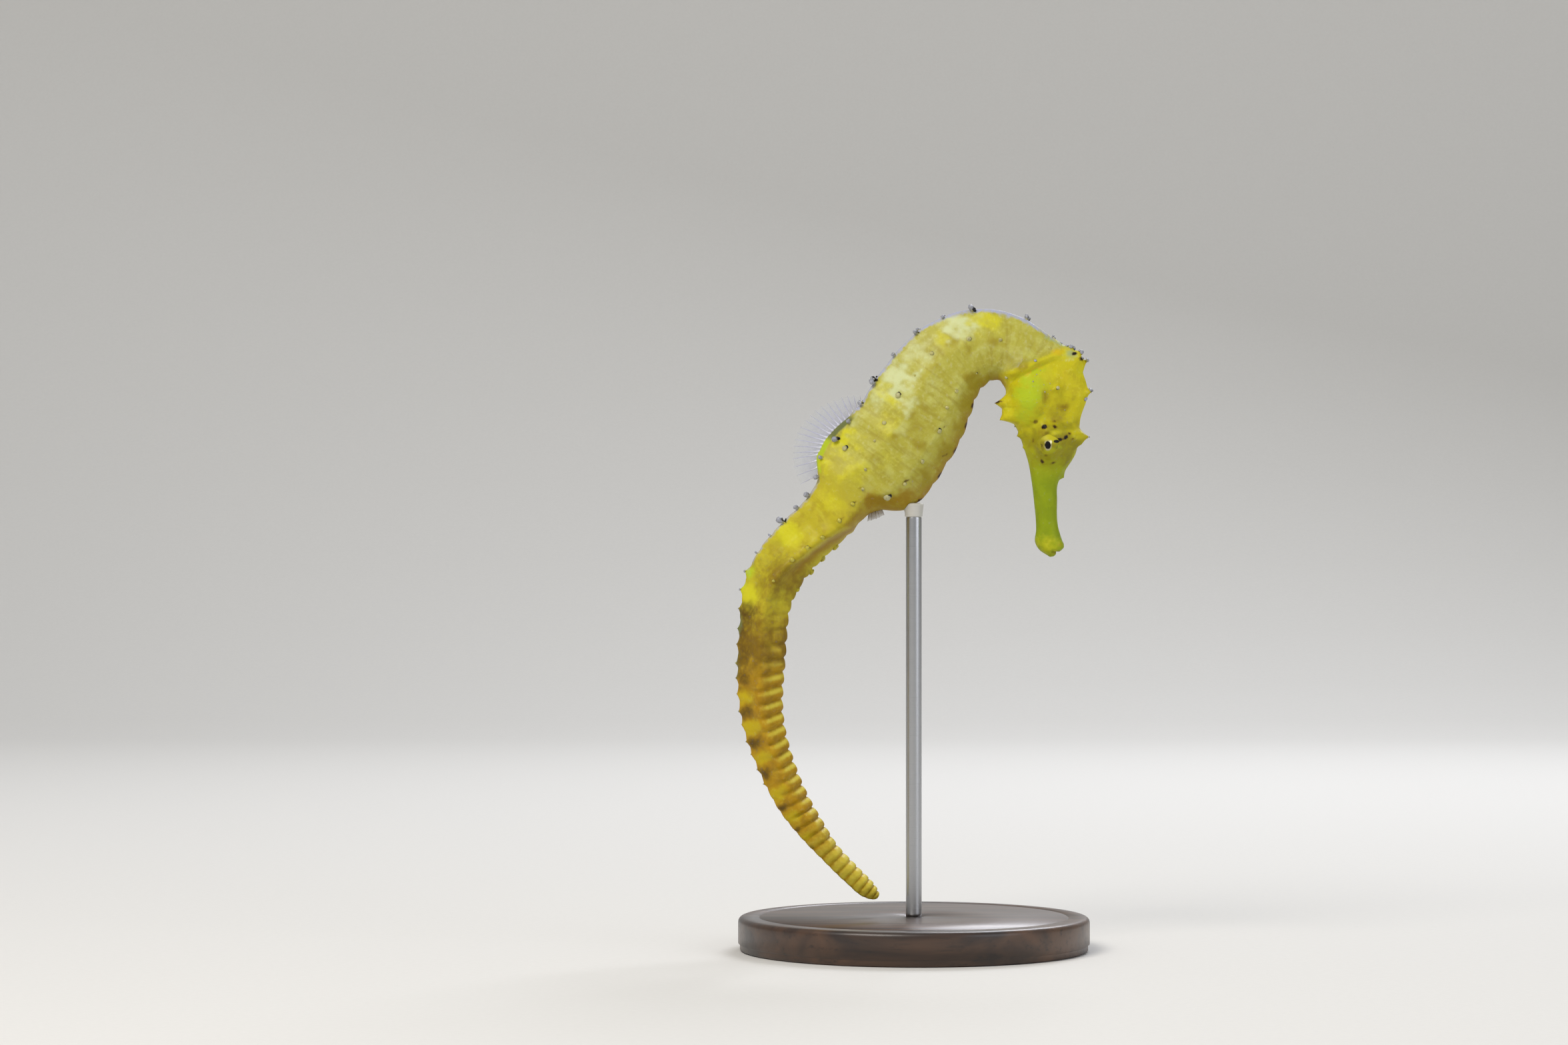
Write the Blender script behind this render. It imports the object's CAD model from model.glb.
import math

import bpy
import numpy as np
from mathutils import Matrix, Vector


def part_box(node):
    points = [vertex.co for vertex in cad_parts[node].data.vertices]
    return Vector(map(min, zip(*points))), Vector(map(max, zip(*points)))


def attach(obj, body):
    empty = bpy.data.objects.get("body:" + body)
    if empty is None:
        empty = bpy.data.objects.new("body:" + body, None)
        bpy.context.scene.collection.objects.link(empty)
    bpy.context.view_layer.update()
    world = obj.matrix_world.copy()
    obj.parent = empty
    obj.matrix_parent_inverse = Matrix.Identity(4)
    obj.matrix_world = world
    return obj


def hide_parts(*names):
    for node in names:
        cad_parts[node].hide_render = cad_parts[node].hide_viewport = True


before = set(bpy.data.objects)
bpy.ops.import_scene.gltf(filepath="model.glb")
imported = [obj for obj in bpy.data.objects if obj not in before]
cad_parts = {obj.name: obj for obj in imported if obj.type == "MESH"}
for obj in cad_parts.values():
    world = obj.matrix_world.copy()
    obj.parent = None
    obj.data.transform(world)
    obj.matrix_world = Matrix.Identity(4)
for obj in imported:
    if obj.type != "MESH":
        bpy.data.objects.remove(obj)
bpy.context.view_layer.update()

MM = 0.001  # sizes below are in millimetres where a comment or a table says so

# ---------------------------------------------------------------- studio
# The model stands on a sheet of pale matt paper that sweeps up behind it, so that no edge or
# horizon shows. One large soft box lights it from the upper left, a weaker one fills from the
# right, and a third lights the back so that thin skin and fins show at their edges.


def linear(hex_colour):
    """An sRGB hex colour as linear RGBA."""
    parts = [int(hex_colour[i : i + 2], 16) / 255 for i in (1, 3, 5)]
    return tuple(c / 12.92 if c <= 0.04045 else ((c + 0.055) / 1.055) ** 2.4 for c in parts) + (1,)


def add_node(tree, kind, inputs=None, **settings):
    """Adds a node. Each input is a value, or the socket or node that feeds it."""
    made = tree.nodes.new(kind)
    for name, value in settings.items():
        setattr(made, name, value)
    for socket, value in (inputs or {}).items():
        if isinstance(value, bpy.types.Node):
            value = value.outputs[0]
        if isinstance(value, bpy.types.NodeSocket):
            tree.links.new(value, made.inputs[socket])
        else:
            made.inputs[socket].default_value = value
    return made


def new_material(name):
    """An empty material, its node tree and the Object coordinates in it."""
    material = bpy.data.materials.new(name)
    material.use_nodes = True
    tree = material.node_tree
    tree.nodes.clear()
    return material, tree, add_node(tree, "ShaderNodeTexCoord").outputs["Object"]


def painted(ground, *coats):
    """Lays coats of colour over a ground. Each is a colour and the amounts that scale it."""
    for colour, share, *more in coats:
        for amount in more:
            share = add_node(tree, "ShaderNodeMath", {0: share, 1: amount}, operation="MULTIPLY")
        ground, colour = (linear(c) if isinstance(c, str) else c for c in (ground, colour))
        ground = add_node(tree, "ShaderNodeMix", {
            0: share, 6: ground, 7: colour,
        }, data_type="RGBA").outputs[2]
    return ground


def new_object(name, data):
    """An object in the scene, at the origin."""
    made = bpy.data.objects.new(name, data)
    bpy.context.scene.collection.objects.link(made)
    return made


def mesh_object(name, vertices, faces, material):
    """A smooth mesh object, from vertices in metres."""
    mesh = bpy.data.meshes.new(name)
    mesh.from_pydata([tuple(v) for v in vertices], [], faces)
    mesh.materials.append(material)
    mesh.shade_smooth()
    return new_object(name, mesh)


paper, tree, place = new_material("matt_paper")
fibre = add_node(tree, "ShaderNodeTexNoise", {"Vector": place, "Scale": 900.0, "Detail": 3.0})
add_node(tree, "ShaderNodeOutputMaterial", {
    "Surface": add_node(tree, "ShaderNodeBsdfPrincipled", {
        "Base Color": painted("#e0deda", ("#e5e3df", fibre)), "Roughness": 0.9,
        "Specular IOR Level": 0.2,
    }),
})

FLOOR_HALF = 9.0
FLOOR_BACK = 0.75
SWEEP_RADIUS = 0.45
SWEEP_TOP = 2.2
SWEEP_STEPS = 12
sweep = [(-FLOOR_HALF, 0.0), (0.0, 0.0), (FLOOR_BACK, 0.0)]
for step in range(1, SWEEP_STEPS + 1):
    angle = math.radians(90 * step / SWEEP_STEPS)
    sweep.append((
        FLOOR_BACK + SWEEP_RADIUS * math.sin(angle), SWEEP_RADIUS * (1 - math.cos(angle)),
    ))
sweep.append((FLOOR_BACK + SWEEP_RADIUS, SWEEP_TOP))
floor_vertices = [(x, y, z) for y, z in sweep for x in (-FLOOR_HALF, FLOOR_HALF)]
floor_faces = [(2 * i, 2 * i + 1, 2 * i + 3, 2 * i + 2) for i in range(len(sweep) - 1)]
floor = mesh_object("paper_sweep", floor_vertices, floor_faces, paper)

LENS = 100.0
SENSOR = 36.0
CAMERA_PLACE = (-0.0229, -0.7686, 0.0755)
camera_data = bpy.data.cameras.new("camera")
camera_data.lens = LENS
camera_data.sensor_width = SENSOR
camera_data.clip_start = 0.01
camera_data.clip_end = 20
camera = new_object("camera", camera_data)
camera.location = CAMERA_PLACE
camera.rotation_euler = (math.radians(90), 0, 0)
bpy.context.scene.camera = camera

LAMPS_AIM = Vector((0, 0, 0.07))
LAMPS = (
    # name, place, size, watts, colour
    ("soft_box_key", (-0.42, -0.62, 0.78), 0.5, 7.0, "#fffaf2"),
    ("soft_box_fill", (0.75, -0.55, 0.35), 0.6, 1.8, "#f2f6ff"),
    ("soft_box_back", (0.25, 0.62, 0.65), 0.4, 4.0, "#f4f7ff"),
)
for name, place, size, watts, colour in LAMPS:
    lamp_data = bpy.data.lights.new(name, "AREA")
    lamp_data.energy = watts
    lamp_data.size = size
    lamp_data.color = linear(colour)[:3]
    lamp = new_object(name, lamp_data)
    lamp.location = place
    lamp.rotation_euler = (LAMPS_AIM - Vector(place)).to_track_quat("-Z", "Y").to_euler()

world = bpy.data.worlds.new("studio_air")
world.use_nodes = True
air = world.node_tree.nodes["Background"]
air.inputs["Color"].default_value = linear("#eef1f4")
air.inputs["Strength"].default_value = 0.42
bpy.context.scene.world = world
bpy.context.scene.view_settings.view_transform = "Standard"

# ---------------------------------------------------------------- body form
# A seahorse is a tube of bony rings under a thin skin: 35 tail rings and 11 trunk rings, then a
# head bent down on the neck. The form is one sweep along the animal's centre line, which is
# measured in millimetres of station from the tip of the tail (0) to the mouth (164).

BODY_LENGTH = 164
TAIL_LENGTH = 81.2
TRUNK_END = 127.5
TAIL_RINGS = 35
TRUNK_RINGS = 11
RING_GROWTH = 1.3
TAIL_TIP = (-6.2, 9.4)

# Station, heading of the centre line in degrees above +X.
HEADINGS = (
    (0, 144), (6, 137.5), (12, 131), (18, 123.5), (26, 116), (34, 107), (42, 94), (50, 86),
    (57, 82), (63, 65), (70, 47.5), (76, 43), (83, 44.5), (91, 51.5), (98, 55), (104, 57.5),
    (110, 50), (115, 31), (120, 6), (125, -22), (130, -51), (135, -77), (140, -94), (146, -99),
    (151, -92), (157, -87), (164, -81),
)
# Station, reach towards the back, reach towards the belly, half width.
REACH = (
    (0, 0.75, 0.5, 0.6), (2, 1.5, 1.2, 1.3), (6, 1.6, 1.6, 1.55), (12, 1.75, 1.75, 1.7),
    (17, 2.3, 2.25, 2.15), (22, 2.95, 2.45, 2.55), (30, 3.2, 2.95, 2.95), (40, 3.7, 3.6, 3.5),
    (48, 3.95, 4.2, 3.95), (58, 4.25, 4.2, 4.15), (65, 4.85, 4.5, 4.5), (72, 4.8, 4.55, 4.5),
    (78, 5, 4.55, 4.6), (81.5, 6.2, 4.5, 4.7), (84, 9, 4.6, 4.9), (86, 9.6, 6.2, 5.1),
    (88, 10, 8.5, 5.3), (92, 9.8, 9.6, 5.6), (97, 8.8, 9.4, 5.6), (102, 9, 9.1, 5.5),
    (107, 8.7, 8.1, 5.2), (112, 8.2, 6.85, 4.9), (117, 7.3, 6, 4.5), (122, 6.15, 5.6, 4.2),
    (126, 5.3, 6.5, 4.2), (130, 6, 7.7, 4.3), (132, 6.9, 8.2, 4.4), (136, 6.3, 8.8, 4.3),
    (139, 4.8, 8.5, 3.5), (142, 4.7, 6.4, 3), (145, 4.6, 4.8, 2.6), (148, 3.4, 3.3, 2.2),
    (151, 2.1, 2.5, 1.9), (154, 2, 2.1, 1.8), (159, 2, 1.95, 1.75), (161.3, 2.45, 2.3, 1.9),
    (162.2, 2.65, 1.95, 1.85), (162.8, 2.5, 1.5, 1.7), (163.4, 1.6, 0.8, 1.2), (164, 0.6, 0.1, 0.5),
)
# Station, then fractions of the half width and half depth: back ridge across and up, side ridge
# across and up, belly ridge across and down, middle of the back, middle of the belly, sharpness.
SHAPES = (
    (0, 0.84, 0.84, 1, 0, 0.8, 0.84, 0.96, 0.98, 0),
    (20, 0.84, 0.86, 0.94, 0, 0.82, 0.84, 0.94, 0.96, 0),
    (58, 0.87, 0.88, 0.92, 0, 0.85, 0.86, 0.9, 0.95, 0),
    (74, 0.88, 0.9, 0.9, 0, 0.9, 0.9, 0.88, 0.93, 0.06),
    (81, 0.62, 0.92, 1, 0.1, 0.85, 0.75, 0.98, 1, 0.2),
    (86, 0.44, 0.84, 1, 0.16, 0.8, 0.55, 1, 1, 0.55),
    (92, 0.4, 0.86, 1, 0.18, 0.78, 0.52, 1, 1, 0.55),
    (98, 0.4, 1, 1, 0.2, 0.78, 0.52, 0.92, 1, 0.55),
    (112, 0.44, 1, 1, 0.18, 0.78, 0.55, 0.92, 1, 0.5),
    (124, 0.5, 0.96, 1, 0.05, 0.74, 0.62, 0.94, 1, 0.3),
    (131, 0.42, 0.78, 1, -0.25, 0.66, 0.78, 1, 1, 0.2),
    (139, 0.46, 0.78, 1, -0.2, 0.6, 0.8, 1, 1, 0.15),
    (144, 0.66, 0.76, 1, 0.05, 0.62, 0.76, 0.94, 1, 0.05),
    (150, 0.72, 0.72, 1, 0, 0.72, 0.72, 1, 1, 0),
    (164, 0.72, 0.72, 1, 0, 0.72, 0.72, 1, 1, 0),
)
# Station, twist of the tail in degrees.
TWIST = (
    (0, 18), (14, 22), (28, 36), (42, 48), (57, 52), (63, 46), (69, 31), (75, 21), (80, 12),
    (85, 0), (88, 0), (92, 0), (164, 0),
)
# Station, lean of the ring planes: how far a ring sits tailwards for each mm out on the right.
RING_LEAN = ((0, 0), (20, 0), (35, 0.18), (60, 0.3), (76, 0.1), (84, 0), (164, 0))

AROUND = 128  # points round each cross-section


def cubic(t, a, b, start, end):
    """A smooth curve from a to b as t goes from 0 to 1, with its slopes at the start and end."""
    rise = b - a
    return a + t * start + t**2 * (3 * rise - 2 * start - end) + t**3 * (start + end - 2 * rise)


def read(rows, column, stations):
    """One column of a table, read smoothly at every station."""
    rows = np.array(rows, float)
    at, value = rows[:, 0], rows[:, column]
    gap = np.diff(at)
    step = np.diff(value) / gap
    slope = np.empty(len(at))
    slope[0], slope[-1] = step[0], step[-1]
    slope[1:-1] = (step[:-1] * gap[1:] + step[1:] * gap[:-1]) / (gap[:-1] + gap[1:])
    i = np.clip(np.searchsorted(at, stations) - 1, 0, len(at) - 2)
    t = np.clip((stations - at[i]) / gap[i], 0, 1)
    return cubic(t, value[i], value[i + 1], slope[i] * gap[i], slope[i + 1] * gap[i])


def ease(low, high, value):
    """0 below low, 1 above high, smooth between."""
    t = np.clip((value - low) / (high - low), 0, 1)
    return t * t * (3 - 2 * t)


LINE_STEP = 0.1
line_station = np.arange(0, BODY_LENGTH + 2 * LINE_STEP, LINE_STEP)
line_heading = np.radians(read(HEADINGS, 1, line_station))
line_x = TAIL_TIP[0] + LINE_STEP * np.append(0, np.cumsum(np.cos(line_heading))[:-1])
line_z = TAIL_TIP[1] + LINE_STEP * np.append(0, np.cumsum(np.sin(line_heading))[:-1])

tail_edges = TAIL_LENGTH * (np.arange(TAIL_RINGS + 1) / TAIL_RINGS) ** RING_GROWTH
trunk_edges = np.linspace(TAIL_LENGTH, TRUNK_END, TRUNK_RINGS + 1)
ring_edges = np.append(tail_edges, trunk_edges[1:])

# Stations of the rows of points: closest at the tip of the tail, on the head and at the lips.
ROW_TAIL = 0.27
ROW_HEAD = 0.17
LIPS_START = 160.7
LIPS_ROWS = 30
rows = [0, 0.03, 0.1, 0.22, 0.38, 0.58]
for start, end in zip(ring_edges[:-1], ring_edges[1:]):
    count = max(round((end - start) / ROW_TAIL), 3)
    rows += [s for s in np.linspace(start, end, count, endpoint=False) if s > 0.7]
rows += list(np.arange(TRUNK_END, LIPS_START - 0.1, ROW_HEAD))
rows += list(np.linspace(LIPS_START, BODY_LENGTH, LIPS_ROWS))
stations = np.array(rows)
count = len(stations)

reach_back = read(REACH, 1, stations)
reach_belly = read(REACH, 2, stations)
half_width = read(REACH, 3, stations)
half_depth = (reach_back + reach_belly) / 2
twist = np.radians(read(TWIST, 1, stations))
shape = [read(SHAPES, column, stations) for column in range(1, 10)]
none = np.zeros(count)
corner_across = np.stack(
    [none, shape[0], shape[2], shape[4], none, -shape[4], -shape[2], -shape[0]], 1
)
corner_up = np.stack(
    [shape[6], shape[1], shape[3], -shape[5], -shape[7], -shape[5], shape[3], shape[1]], 1
)
side_sharp = shape[8] * ease(76, 84, stations)
corner_sharp = np.stack(
    [none, shape[8], side_sharp, shape[8], none, shape[8], side_sharp, shape[8]], 1
)
corner_across = corner_across * half_width[:, None]
corner_up = corner_up * half_depth[:, None]
cos, sin = np.cos(twist)[:, None], np.sin(twist)[:, None]
corner_across, corner_up = (
    corner_across * cos - corner_up * sin,
    corner_across * sin + corner_up * cos,
)
lowest = corner_up.min(1)[:, None]
fit = 2 * half_depth[:, None] / (corner_up.max(1)[:, None] - lowest)


def round_section(corner):
    """Points round each cross-section through its eight corners, rounded as they are sharp."""
    pieces = []
    t = np.arange(AROUND // 8) / (AROUND // 8)
    for i in range(8):
        before, a, b, after = (corner[:, k % 8][:, None] for k in (i + 7, i, i + 1, i + 2))
        start = (b - before) / 2 * (1 - corner_sharp[:, i][:, None])
        end = (after - a) / 2 * (1 - corner_sharp[:, (i + 1) % 8][:, None])
        pieces.append(cubic(t, a, b, start, end))
    return np.concatenate(pieces, 1)


across = round_section(corner_across) * fit
up = (round_section(corner_up) - lowest) * fit - reach_belly[:, None]

heading = np.interp(stations, line_station, line_heading)[:, None]
skin = np.stack(
    [
        np.interp(stations, line_station, line_x)[:, None] - np.sin(heading) * up,
        -across,
        np.interp(stations, line_station, line_z)[:, None] + np.cos(heading) * up,
    ],
    2,
)
# Place on the body: station, turn (0 middle of the back, 1 middle of the belly, the same on both
# flanks) and side (1 on the right flank, -1 on the left).
station = np.repeat(stations[:, None], AROUND, 1)
turn_round = np.tile(np.arange(AROUND) / (AROUND / 2), (count, 1))
turn = np.where(turn_round > 1, 2 - turn_round, turn_round)
side = np.where(turn_round > 1, -1, 1)


def outward(points):
    """Unit normals of a grid of points that closes round each row."""
    along = np.gradient(points, axis=0)
    around = np.roll(points, -1, 1) - np.roll(points, 1, 1)
    normal = np.cross(around, along)
    return normal / np.maximum(np.linalg.norm(normal, axis=2, keepdims=True), 1e-9)


def push_out(amount):
    """Moves the skin along its normals, by an amount in mm at each point."""
    skin[...] += outward(skin) * amount[..., None]


def swell(value, centre, width):
    """1 where a value is at a centre, fading out past a width."""
    return np.exp(-(((value - centre) / width) ** 2))


def radii_out(x, z, centre, radii, angle):
    """How many radii a point lies from the centre of an ellipse in the side view."""
    turn_by = math.radians(angle)
    dx, dz = x - centre[0], z - centre[1]
    a = (dx * math.cos(turn_by) + dz * math.sin(turn_by)) / radii[0]
    b = (-dx * math.sin(turn_by) + dz * math.cos(turn_by)) / radii[1]
    return np.hypot(a, b)


def soft_spot(x, z, centre, radii, angle=0, power=2):
    """1 at the centre of an ellipse in the side view, fading out past its radii."""
    return np.exp(-(radii_out(x, z, centre, radii, angle) ** power))


def soft_line(x, z, points, width):
    """1 along a line through points in the side view, fading out past its width."""
    nearest = np.full(x.shape, 1e9)
    for (x0, z0), (x1, z1) in zip(points[:-1], points[1:]):
        length = (x1 - x0) ** 2 + (z1 - z0) ** 2
        t = np.clip(((x - x0) * (x1 - x0) + (z - z0) * (z1 - z0)) / length, 0, 1)
        nearest = np.minimum(nearest, np.hypot(x - x0 - t * (x1 - x0), z - z0 - t * (z1 - z0)))
    return np.exp(-((nearest / width) ** 2))


# ---------------------------------------------------------------- body relief
# Over the rings the skin lies tight: each ring stands up from its neighbour like a lapped plate,
# in a rounded lobe where it crosses a ridge. The trunk is fleshier, with its rings nearly smooth.

ring_place = station + read(RING_LEAN, 1, stations)[:, None] * across
ring_place = np.clip(ring_place, 0, BODY_LENGTH)
ring = np.clip(np.searchsorted(ring_edges, ring_place, side="right") - 1, 0, len(ring_edges) - 2)
phase = np.clip((ring_place - ring_edges[ring]) / (ring_edges[ring + 1] - ring_edges[ring]), 0, 1)
# Each ring bulges like a bead, widest a third of the way from its tailward edge.
BEAD_WIDEST = 0.35
bead = np.where(
    phase < BEAD_WIDEST,
    (BEAD_WIDEST - phase) / BEAD_WIDEST,
    (phase - BEAD_WIDEST) / (1 - BEAD_WIDEST),
)
bead = np.sqrt(np.clip(1 - bead**2, 0, 1)) * (ring_place < TRUNK_END)
soft_bead = np.where(phase < BEAD_WIDEST, phase / BEAD_WIDEST, (1 - phase) / (1 - BEAD_WIDEST))
soft_bead = np.sin(np.clip(soft_bead, 0, 1) * math.pi / 2) * (ring_place < TRUNK_END)

on_tail = 1 - ease(80, 86, station)
back_ridge = swell(turn, 0.25, 0.075)
side_ridge = swell(turn, 0.5, 0.06)
belly_ridge = swell(turn, 0.75, 0.085)
keel = swell(turn, 1, 0.07)
# The beads reach up the flank from the belly, most at the tip of the tail.
face_start = 0.34 + 0.3 * ease(15, 42, station)
belly_face = ease(face_start, face_start + 0.24, turn) * (1 - ease(50, 62, station))
belly_face = np.maximum(belly_ridge, belly_face)
smooth_flank = (1 - ease(0.7, 1.15, turn_round)) * ease(40, 50, station)
smooth_flank *= 1 - ease(66, 72, station)
belly_face *= 1 - 0.75 * smooth_flank
bead_height = (0.26 + 0.26 * ease(2, 30, station)) * belly_face * (1 - 0.3 * ease(45, 62, station))
face_height = (0.04 + 0.07 * ease(2, 30, station)) * (1 + 0.6 * back_ridge)
tail_relief = bead_height * (bead - 0.55) + face_height * (soft_bead - 0.5)
trunk_height = 0.06 + 0.08 * back_ridge + 0.07 * side_ridge + 0.1 * belly_ridge + 0.25 * keel
trunk_height *= 1 - 0.6 * ease(112, TRUNK_END, station)
push_out(tail_relief * on_tail + trunk_height * soft_bead * (1 - on_tail))
crest = bead * belly_face + soft_bead * (1 - belly_face)

# The flat faces between the ridges of the tail sink in a little.
hollow = np.sin(np.pi * np.clip((turn - 0.25) / 0.5, 0, 1)) ** 2
hollow_belly = np.sin(np.pi * np.clip((turn - 0.75) / 0.5, 0, 1)) ** 2
push_out(-(0.16 * hollow + 0.08 * hollow_belly) * on_tail * ease(8, 40, station))

# The tip of the tail is round.
TIP_RADIUS = 0.9
tip_round = 1 - (1 - np.clip(stations / TIP_RADIUS, 0, 1)) ** 2
tip_round = np.sqrt(np.clip(tip_round, 0.0025, 1))
tip_middle = skin.mean(1, keepdims=True)
skin = tip_middle + (skin - tip_middle) * tip_round[:, None, None]

# ---------------------------------------------------------------- head relief
# The head is bone with thin skin: a domed gill cover, a raised shoulder girdle behind it with the
# fleshy root of the pectoral fin, a turret round each eye, short spines and a low, knobbed crown.

eye_low, eye_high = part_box("eye_right")
eye_centre = tuple((eye_low + eye_high) / 2 / MM)
eye_radius = (eye_high.x - eye_low.x) / 2 / MM
eye_depth = (eye_high.y - eye_low.y) / 2 / MM

SHOULDER_RIDGE = (
    (15.9, 101.3), (17.5, 101.8), (19.9, 102.8), (21.4, 103.6), (23, 104.3), (25.4, 105)
)
SHOULDER_GROOVE = (
    (17.3, 100.3), (18.3, 100.8), (20, 101.8), (21.4, 102.7), (23, 103.5), (24.6, 104.2)
)
ARM_RIDGE = (
    (15.8, 101.9), (16.9, 102.9), (18.1, 103.7), (19.7, 104.3), (21.4, 104.7), (23.8, 105.7)
)
GILL_EDGE = ((24.2, 102.6), (23.9, 99.6), (23.2, 96.6), (22.2, 94), (20.4, 92.4), (18, 92))
BROW_RIDGE = ((23.2, 92.4), (25.2, 92.2), (27, 91.4), (29, 90.8))
NOSE_RIDGE = ((27.2, 88.4), (26.4, 86.4), (25.6, 84.2))
CROWN_RIDGE = ((27.4, 103.6), (29.4, 101.6), (30, 99), (29, 96.4), (27.6, 93.6))
# Lines in the side view: points, width, height.
HEAD_LINES = (
    (SHOULDER_RIDGE, 0.6, 0.6),
    (SHOULDER_GROOVE, 0.34, -0.28),
    (ARM_RIDGE, 0.42, 0.5),
    (GILL_EDGE, 0.45, -0.2),
    (BROW_RIDGE, 0.7, 0.35),
    (NOSE_RIDGE, 0.6, 0.2),
    (CROWN_RIDGE, 0.8, 0.18),
)
# Swellings in the side view: centre, radii, angle, power, height.
HEAD_SWELLINGS = (
    (eye_centre[::2], (3.2, 3.2), 0, 4, 1.8),
    ((19.9, 97.4), (3.7, 5.2), -8, 3, 0.85),
    ((18.8, 103), (1.3, 0.55), 28, 2, 0.3),
    ((25.2, 105.2), (1.4, 0.8), 22, 2, 0.35),
    ((25.2, 98.9), (1.6, 1.6), 0, 2, 0.25),
    ((27.2, 100.6), (2.2, 2.6), 0, 2, -0.22),
    ((26.4, 94.8), (1.6, 2), 0, 2, -0.28),
)
x, z = skin[..., 0], skin[..., 2]
head = ease(120, 126, station)
flank = np.clip(np.abs(across) / half_width[:, None], 0, 1)
y_push = np.zeros(x.shape)
for centre, radii, angle, power, height in HEAD_SWELLINGS:
    y_push += height * flank * soft_spot(x, z, centre, radii, angle, power)
for points, width, height in HEAD_LINES:
    y_push += height * ease(0.15, 0.7, flank) * soft_line(x, z, points, width)

# Fine rays fan out over the gill cover from its front edge.
GILL_HINGE = (23.6, 96.4)
GILL_RAYS = 46
dx, dz = x - GILL_HINGE[0], z - GILL_HINGE[1]
gill_cover = soft_spot(x, z, (19.4, 97.6), (3.8, 5), -8, 5)
gill_rays = np.sin(np.arctan2(dz, dx) * GILL_RAYS) * ease(0.8, 2.5, np.hypot(dx, dz))
y_push += 0.01 * flank * gill_cover * gill_rays

# The eye sits in a socket with a raised rim, and small folds run out from it over the turret.
dx, dz = x - eye_centre[0], z - eye_centre[2]
from_eye, round_eye = np.hypot(dx, dz), np.arctan2(dz, dx)
y_push -= 0.14 * flank * swell(from_eye, eye_radius * 1.25, 0.3)
turret_fold = np.sin(11 * round_eye + 1.5 * np.sin(2.3 * x))
y_push += 0.06 * flank * turret_fold * swell(from_eye, eye_radius * 1.15, 0.55)
skin[..., 1] -= side * y_push * head
# A lid of skin laps over the ball's rim. Inside the lid's edge the skin dips into the ball.
LID_EDGE = 1.7
LID_OVER = 0.06
LID_SLOPE = 1.1
ball_front = -eye_centre[1] + eye_depth * np.sqrt(np.clip(1 - (from_eye / eye_radius) ** 2, 0, 1))
lid_edge = LID_EDGE + 0.09 * np.sin(3 * round_eye + 1) + 0.07 * np.sin(5 * round_eye)
lid_edge += 0.04 * np.sin(9 * round_eye)
lid_inner = ball_front + LID_OVER - LID_SLOPE * np.clip(lid_edge - from_eye, 0, 0.8)
lid_outer = np.maximum(np.abs(skin[..., 1]), ball_front + LID_OVER)
lid_side = ease(lid_edge - 0.1, lid_edge + 0.4, from_eye)
lidded = lid_inner * (1 - lid_side) + lid_outer * lid_side
near_eye = (from_eye < eye_radius) & (flank > 0.3) & (station > 128)
skin[..., 1] = np.where(near_eye, -side * lidded, skin[..., 1])

# The outline of the crown hollows between the coronet and the knob behind the eye.
CROWN_TUCK = ((30.4, 102), (2, 2.4), 0.6)
tuck_centre, tuck_radii, tuck_depth = CROWN_TUCK
tuck = soft_spot(skin[..., 0], skin[..., 2], tuck_centre, tuck_radii) * head
push_out(-tuck_depth * tuck * (np.abs(turn) < 0.6))


def raise_spine(tip, base, radius, power=1.7):
    """Draws the skin out into a thorn whose point is at tip."""
    tip, base = np.array(tip, float), np.array(base, float)
    axis = (tip - base) / np.linalg.norm(tip - base)
    normal = outward(skin)
    facing = (normal @ axis) > 0.1
    offset = skin - base
    radial = offset - (offset @ axis)[..., None] * axis
    distance = np.where(facing, np.linalg.norm(radial, axis=2), 1e9)
    distance = np.where(np.abs(offset @ axis) < 4, distance, 1e9)
    peak = skin[np.unravel_index(np.argmin(distance), distance.shape)].copy()
    lift = tip - peak
    offset = skin - peak
    direction = lift / np.linalg.norm(lift)
    radial = offset - (offset @ direction)[..., None] * direction
    distance = np.where(facing, np.linalg.norm(radial, axis=2), 1e9)
    near = np.clip(1 - distance / radius, 0, 1) * (np.linalg.norm(offset, axis=2) < 2 * radius)
    skin[...] += lift * (near**power)[..., None] - radial * (0.3 * near * (near < 1))[..., None]


def row_at(at):
    """The row of skin points nearest to a station."""
    return int(np.argmin(np.abs(stations - at)))


# Tip, base, radius of the foot, power of the flank. A tip off the middle plane makes a pair.
SPINES = (
    ((30.7, 2.9, 90.6), (27, 1.9, 91), 2.5, 1.3),  # over the eye
    ((29.4, 2.2, 89.2), (26.6, 1.4, 89), 1.5, 1.2),  # in front of it
    ((26.5, 0, 83.4), (25.2, 0, 85.4), 0.95, 1.1),  # nose
    ((14.3, 1.6, 96.6), (17, 1.3, 96.7), 1.7, 1.1),  # cheek, upper
    ((15.2, 1.7, 93.6), (17.8, 1.4, 94.5), 1.8, 1.05),  # cheek, lower
    ((18.2, 0.7, 90.75), (20, 0.7, 91.3), 0.85, 1.2),  # jaw
    ((19.25, 0.7, 88.7), (20.4, 0.7, 88.9), 0.6, 1.1),  # chin
    ((31.4, 0.8, 98.6), (28.6, 0.6, 98.2), 1.3, 1.6),  # crown
    ((25.1, 4.6, 99.1), (25, 3, 99.1), 0.9, 1.3),  # temple
    ((28, 1.2, 106.6), (26.8, 0.8, 104.2), 1.5, 0.9),  # coronet, back pair
    ((29.5, 1.4, 105.5), (28.2, 1, 103.6), 1.3, 0.9),  # coronet, middle pair
    ((30.6, 0, 104.1), (28.6, 0, 102.8), 1.2, 0.9),  # coronet, front
)
for tip, base, radius, power in SPINES:
    raise_spine(tip, base, radius, power)
    if tip[1] > 0:
        raise_spine((tip[0], -tip[1], tip[2]), (base[0], -base[1], base[2]), radius, power)

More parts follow.
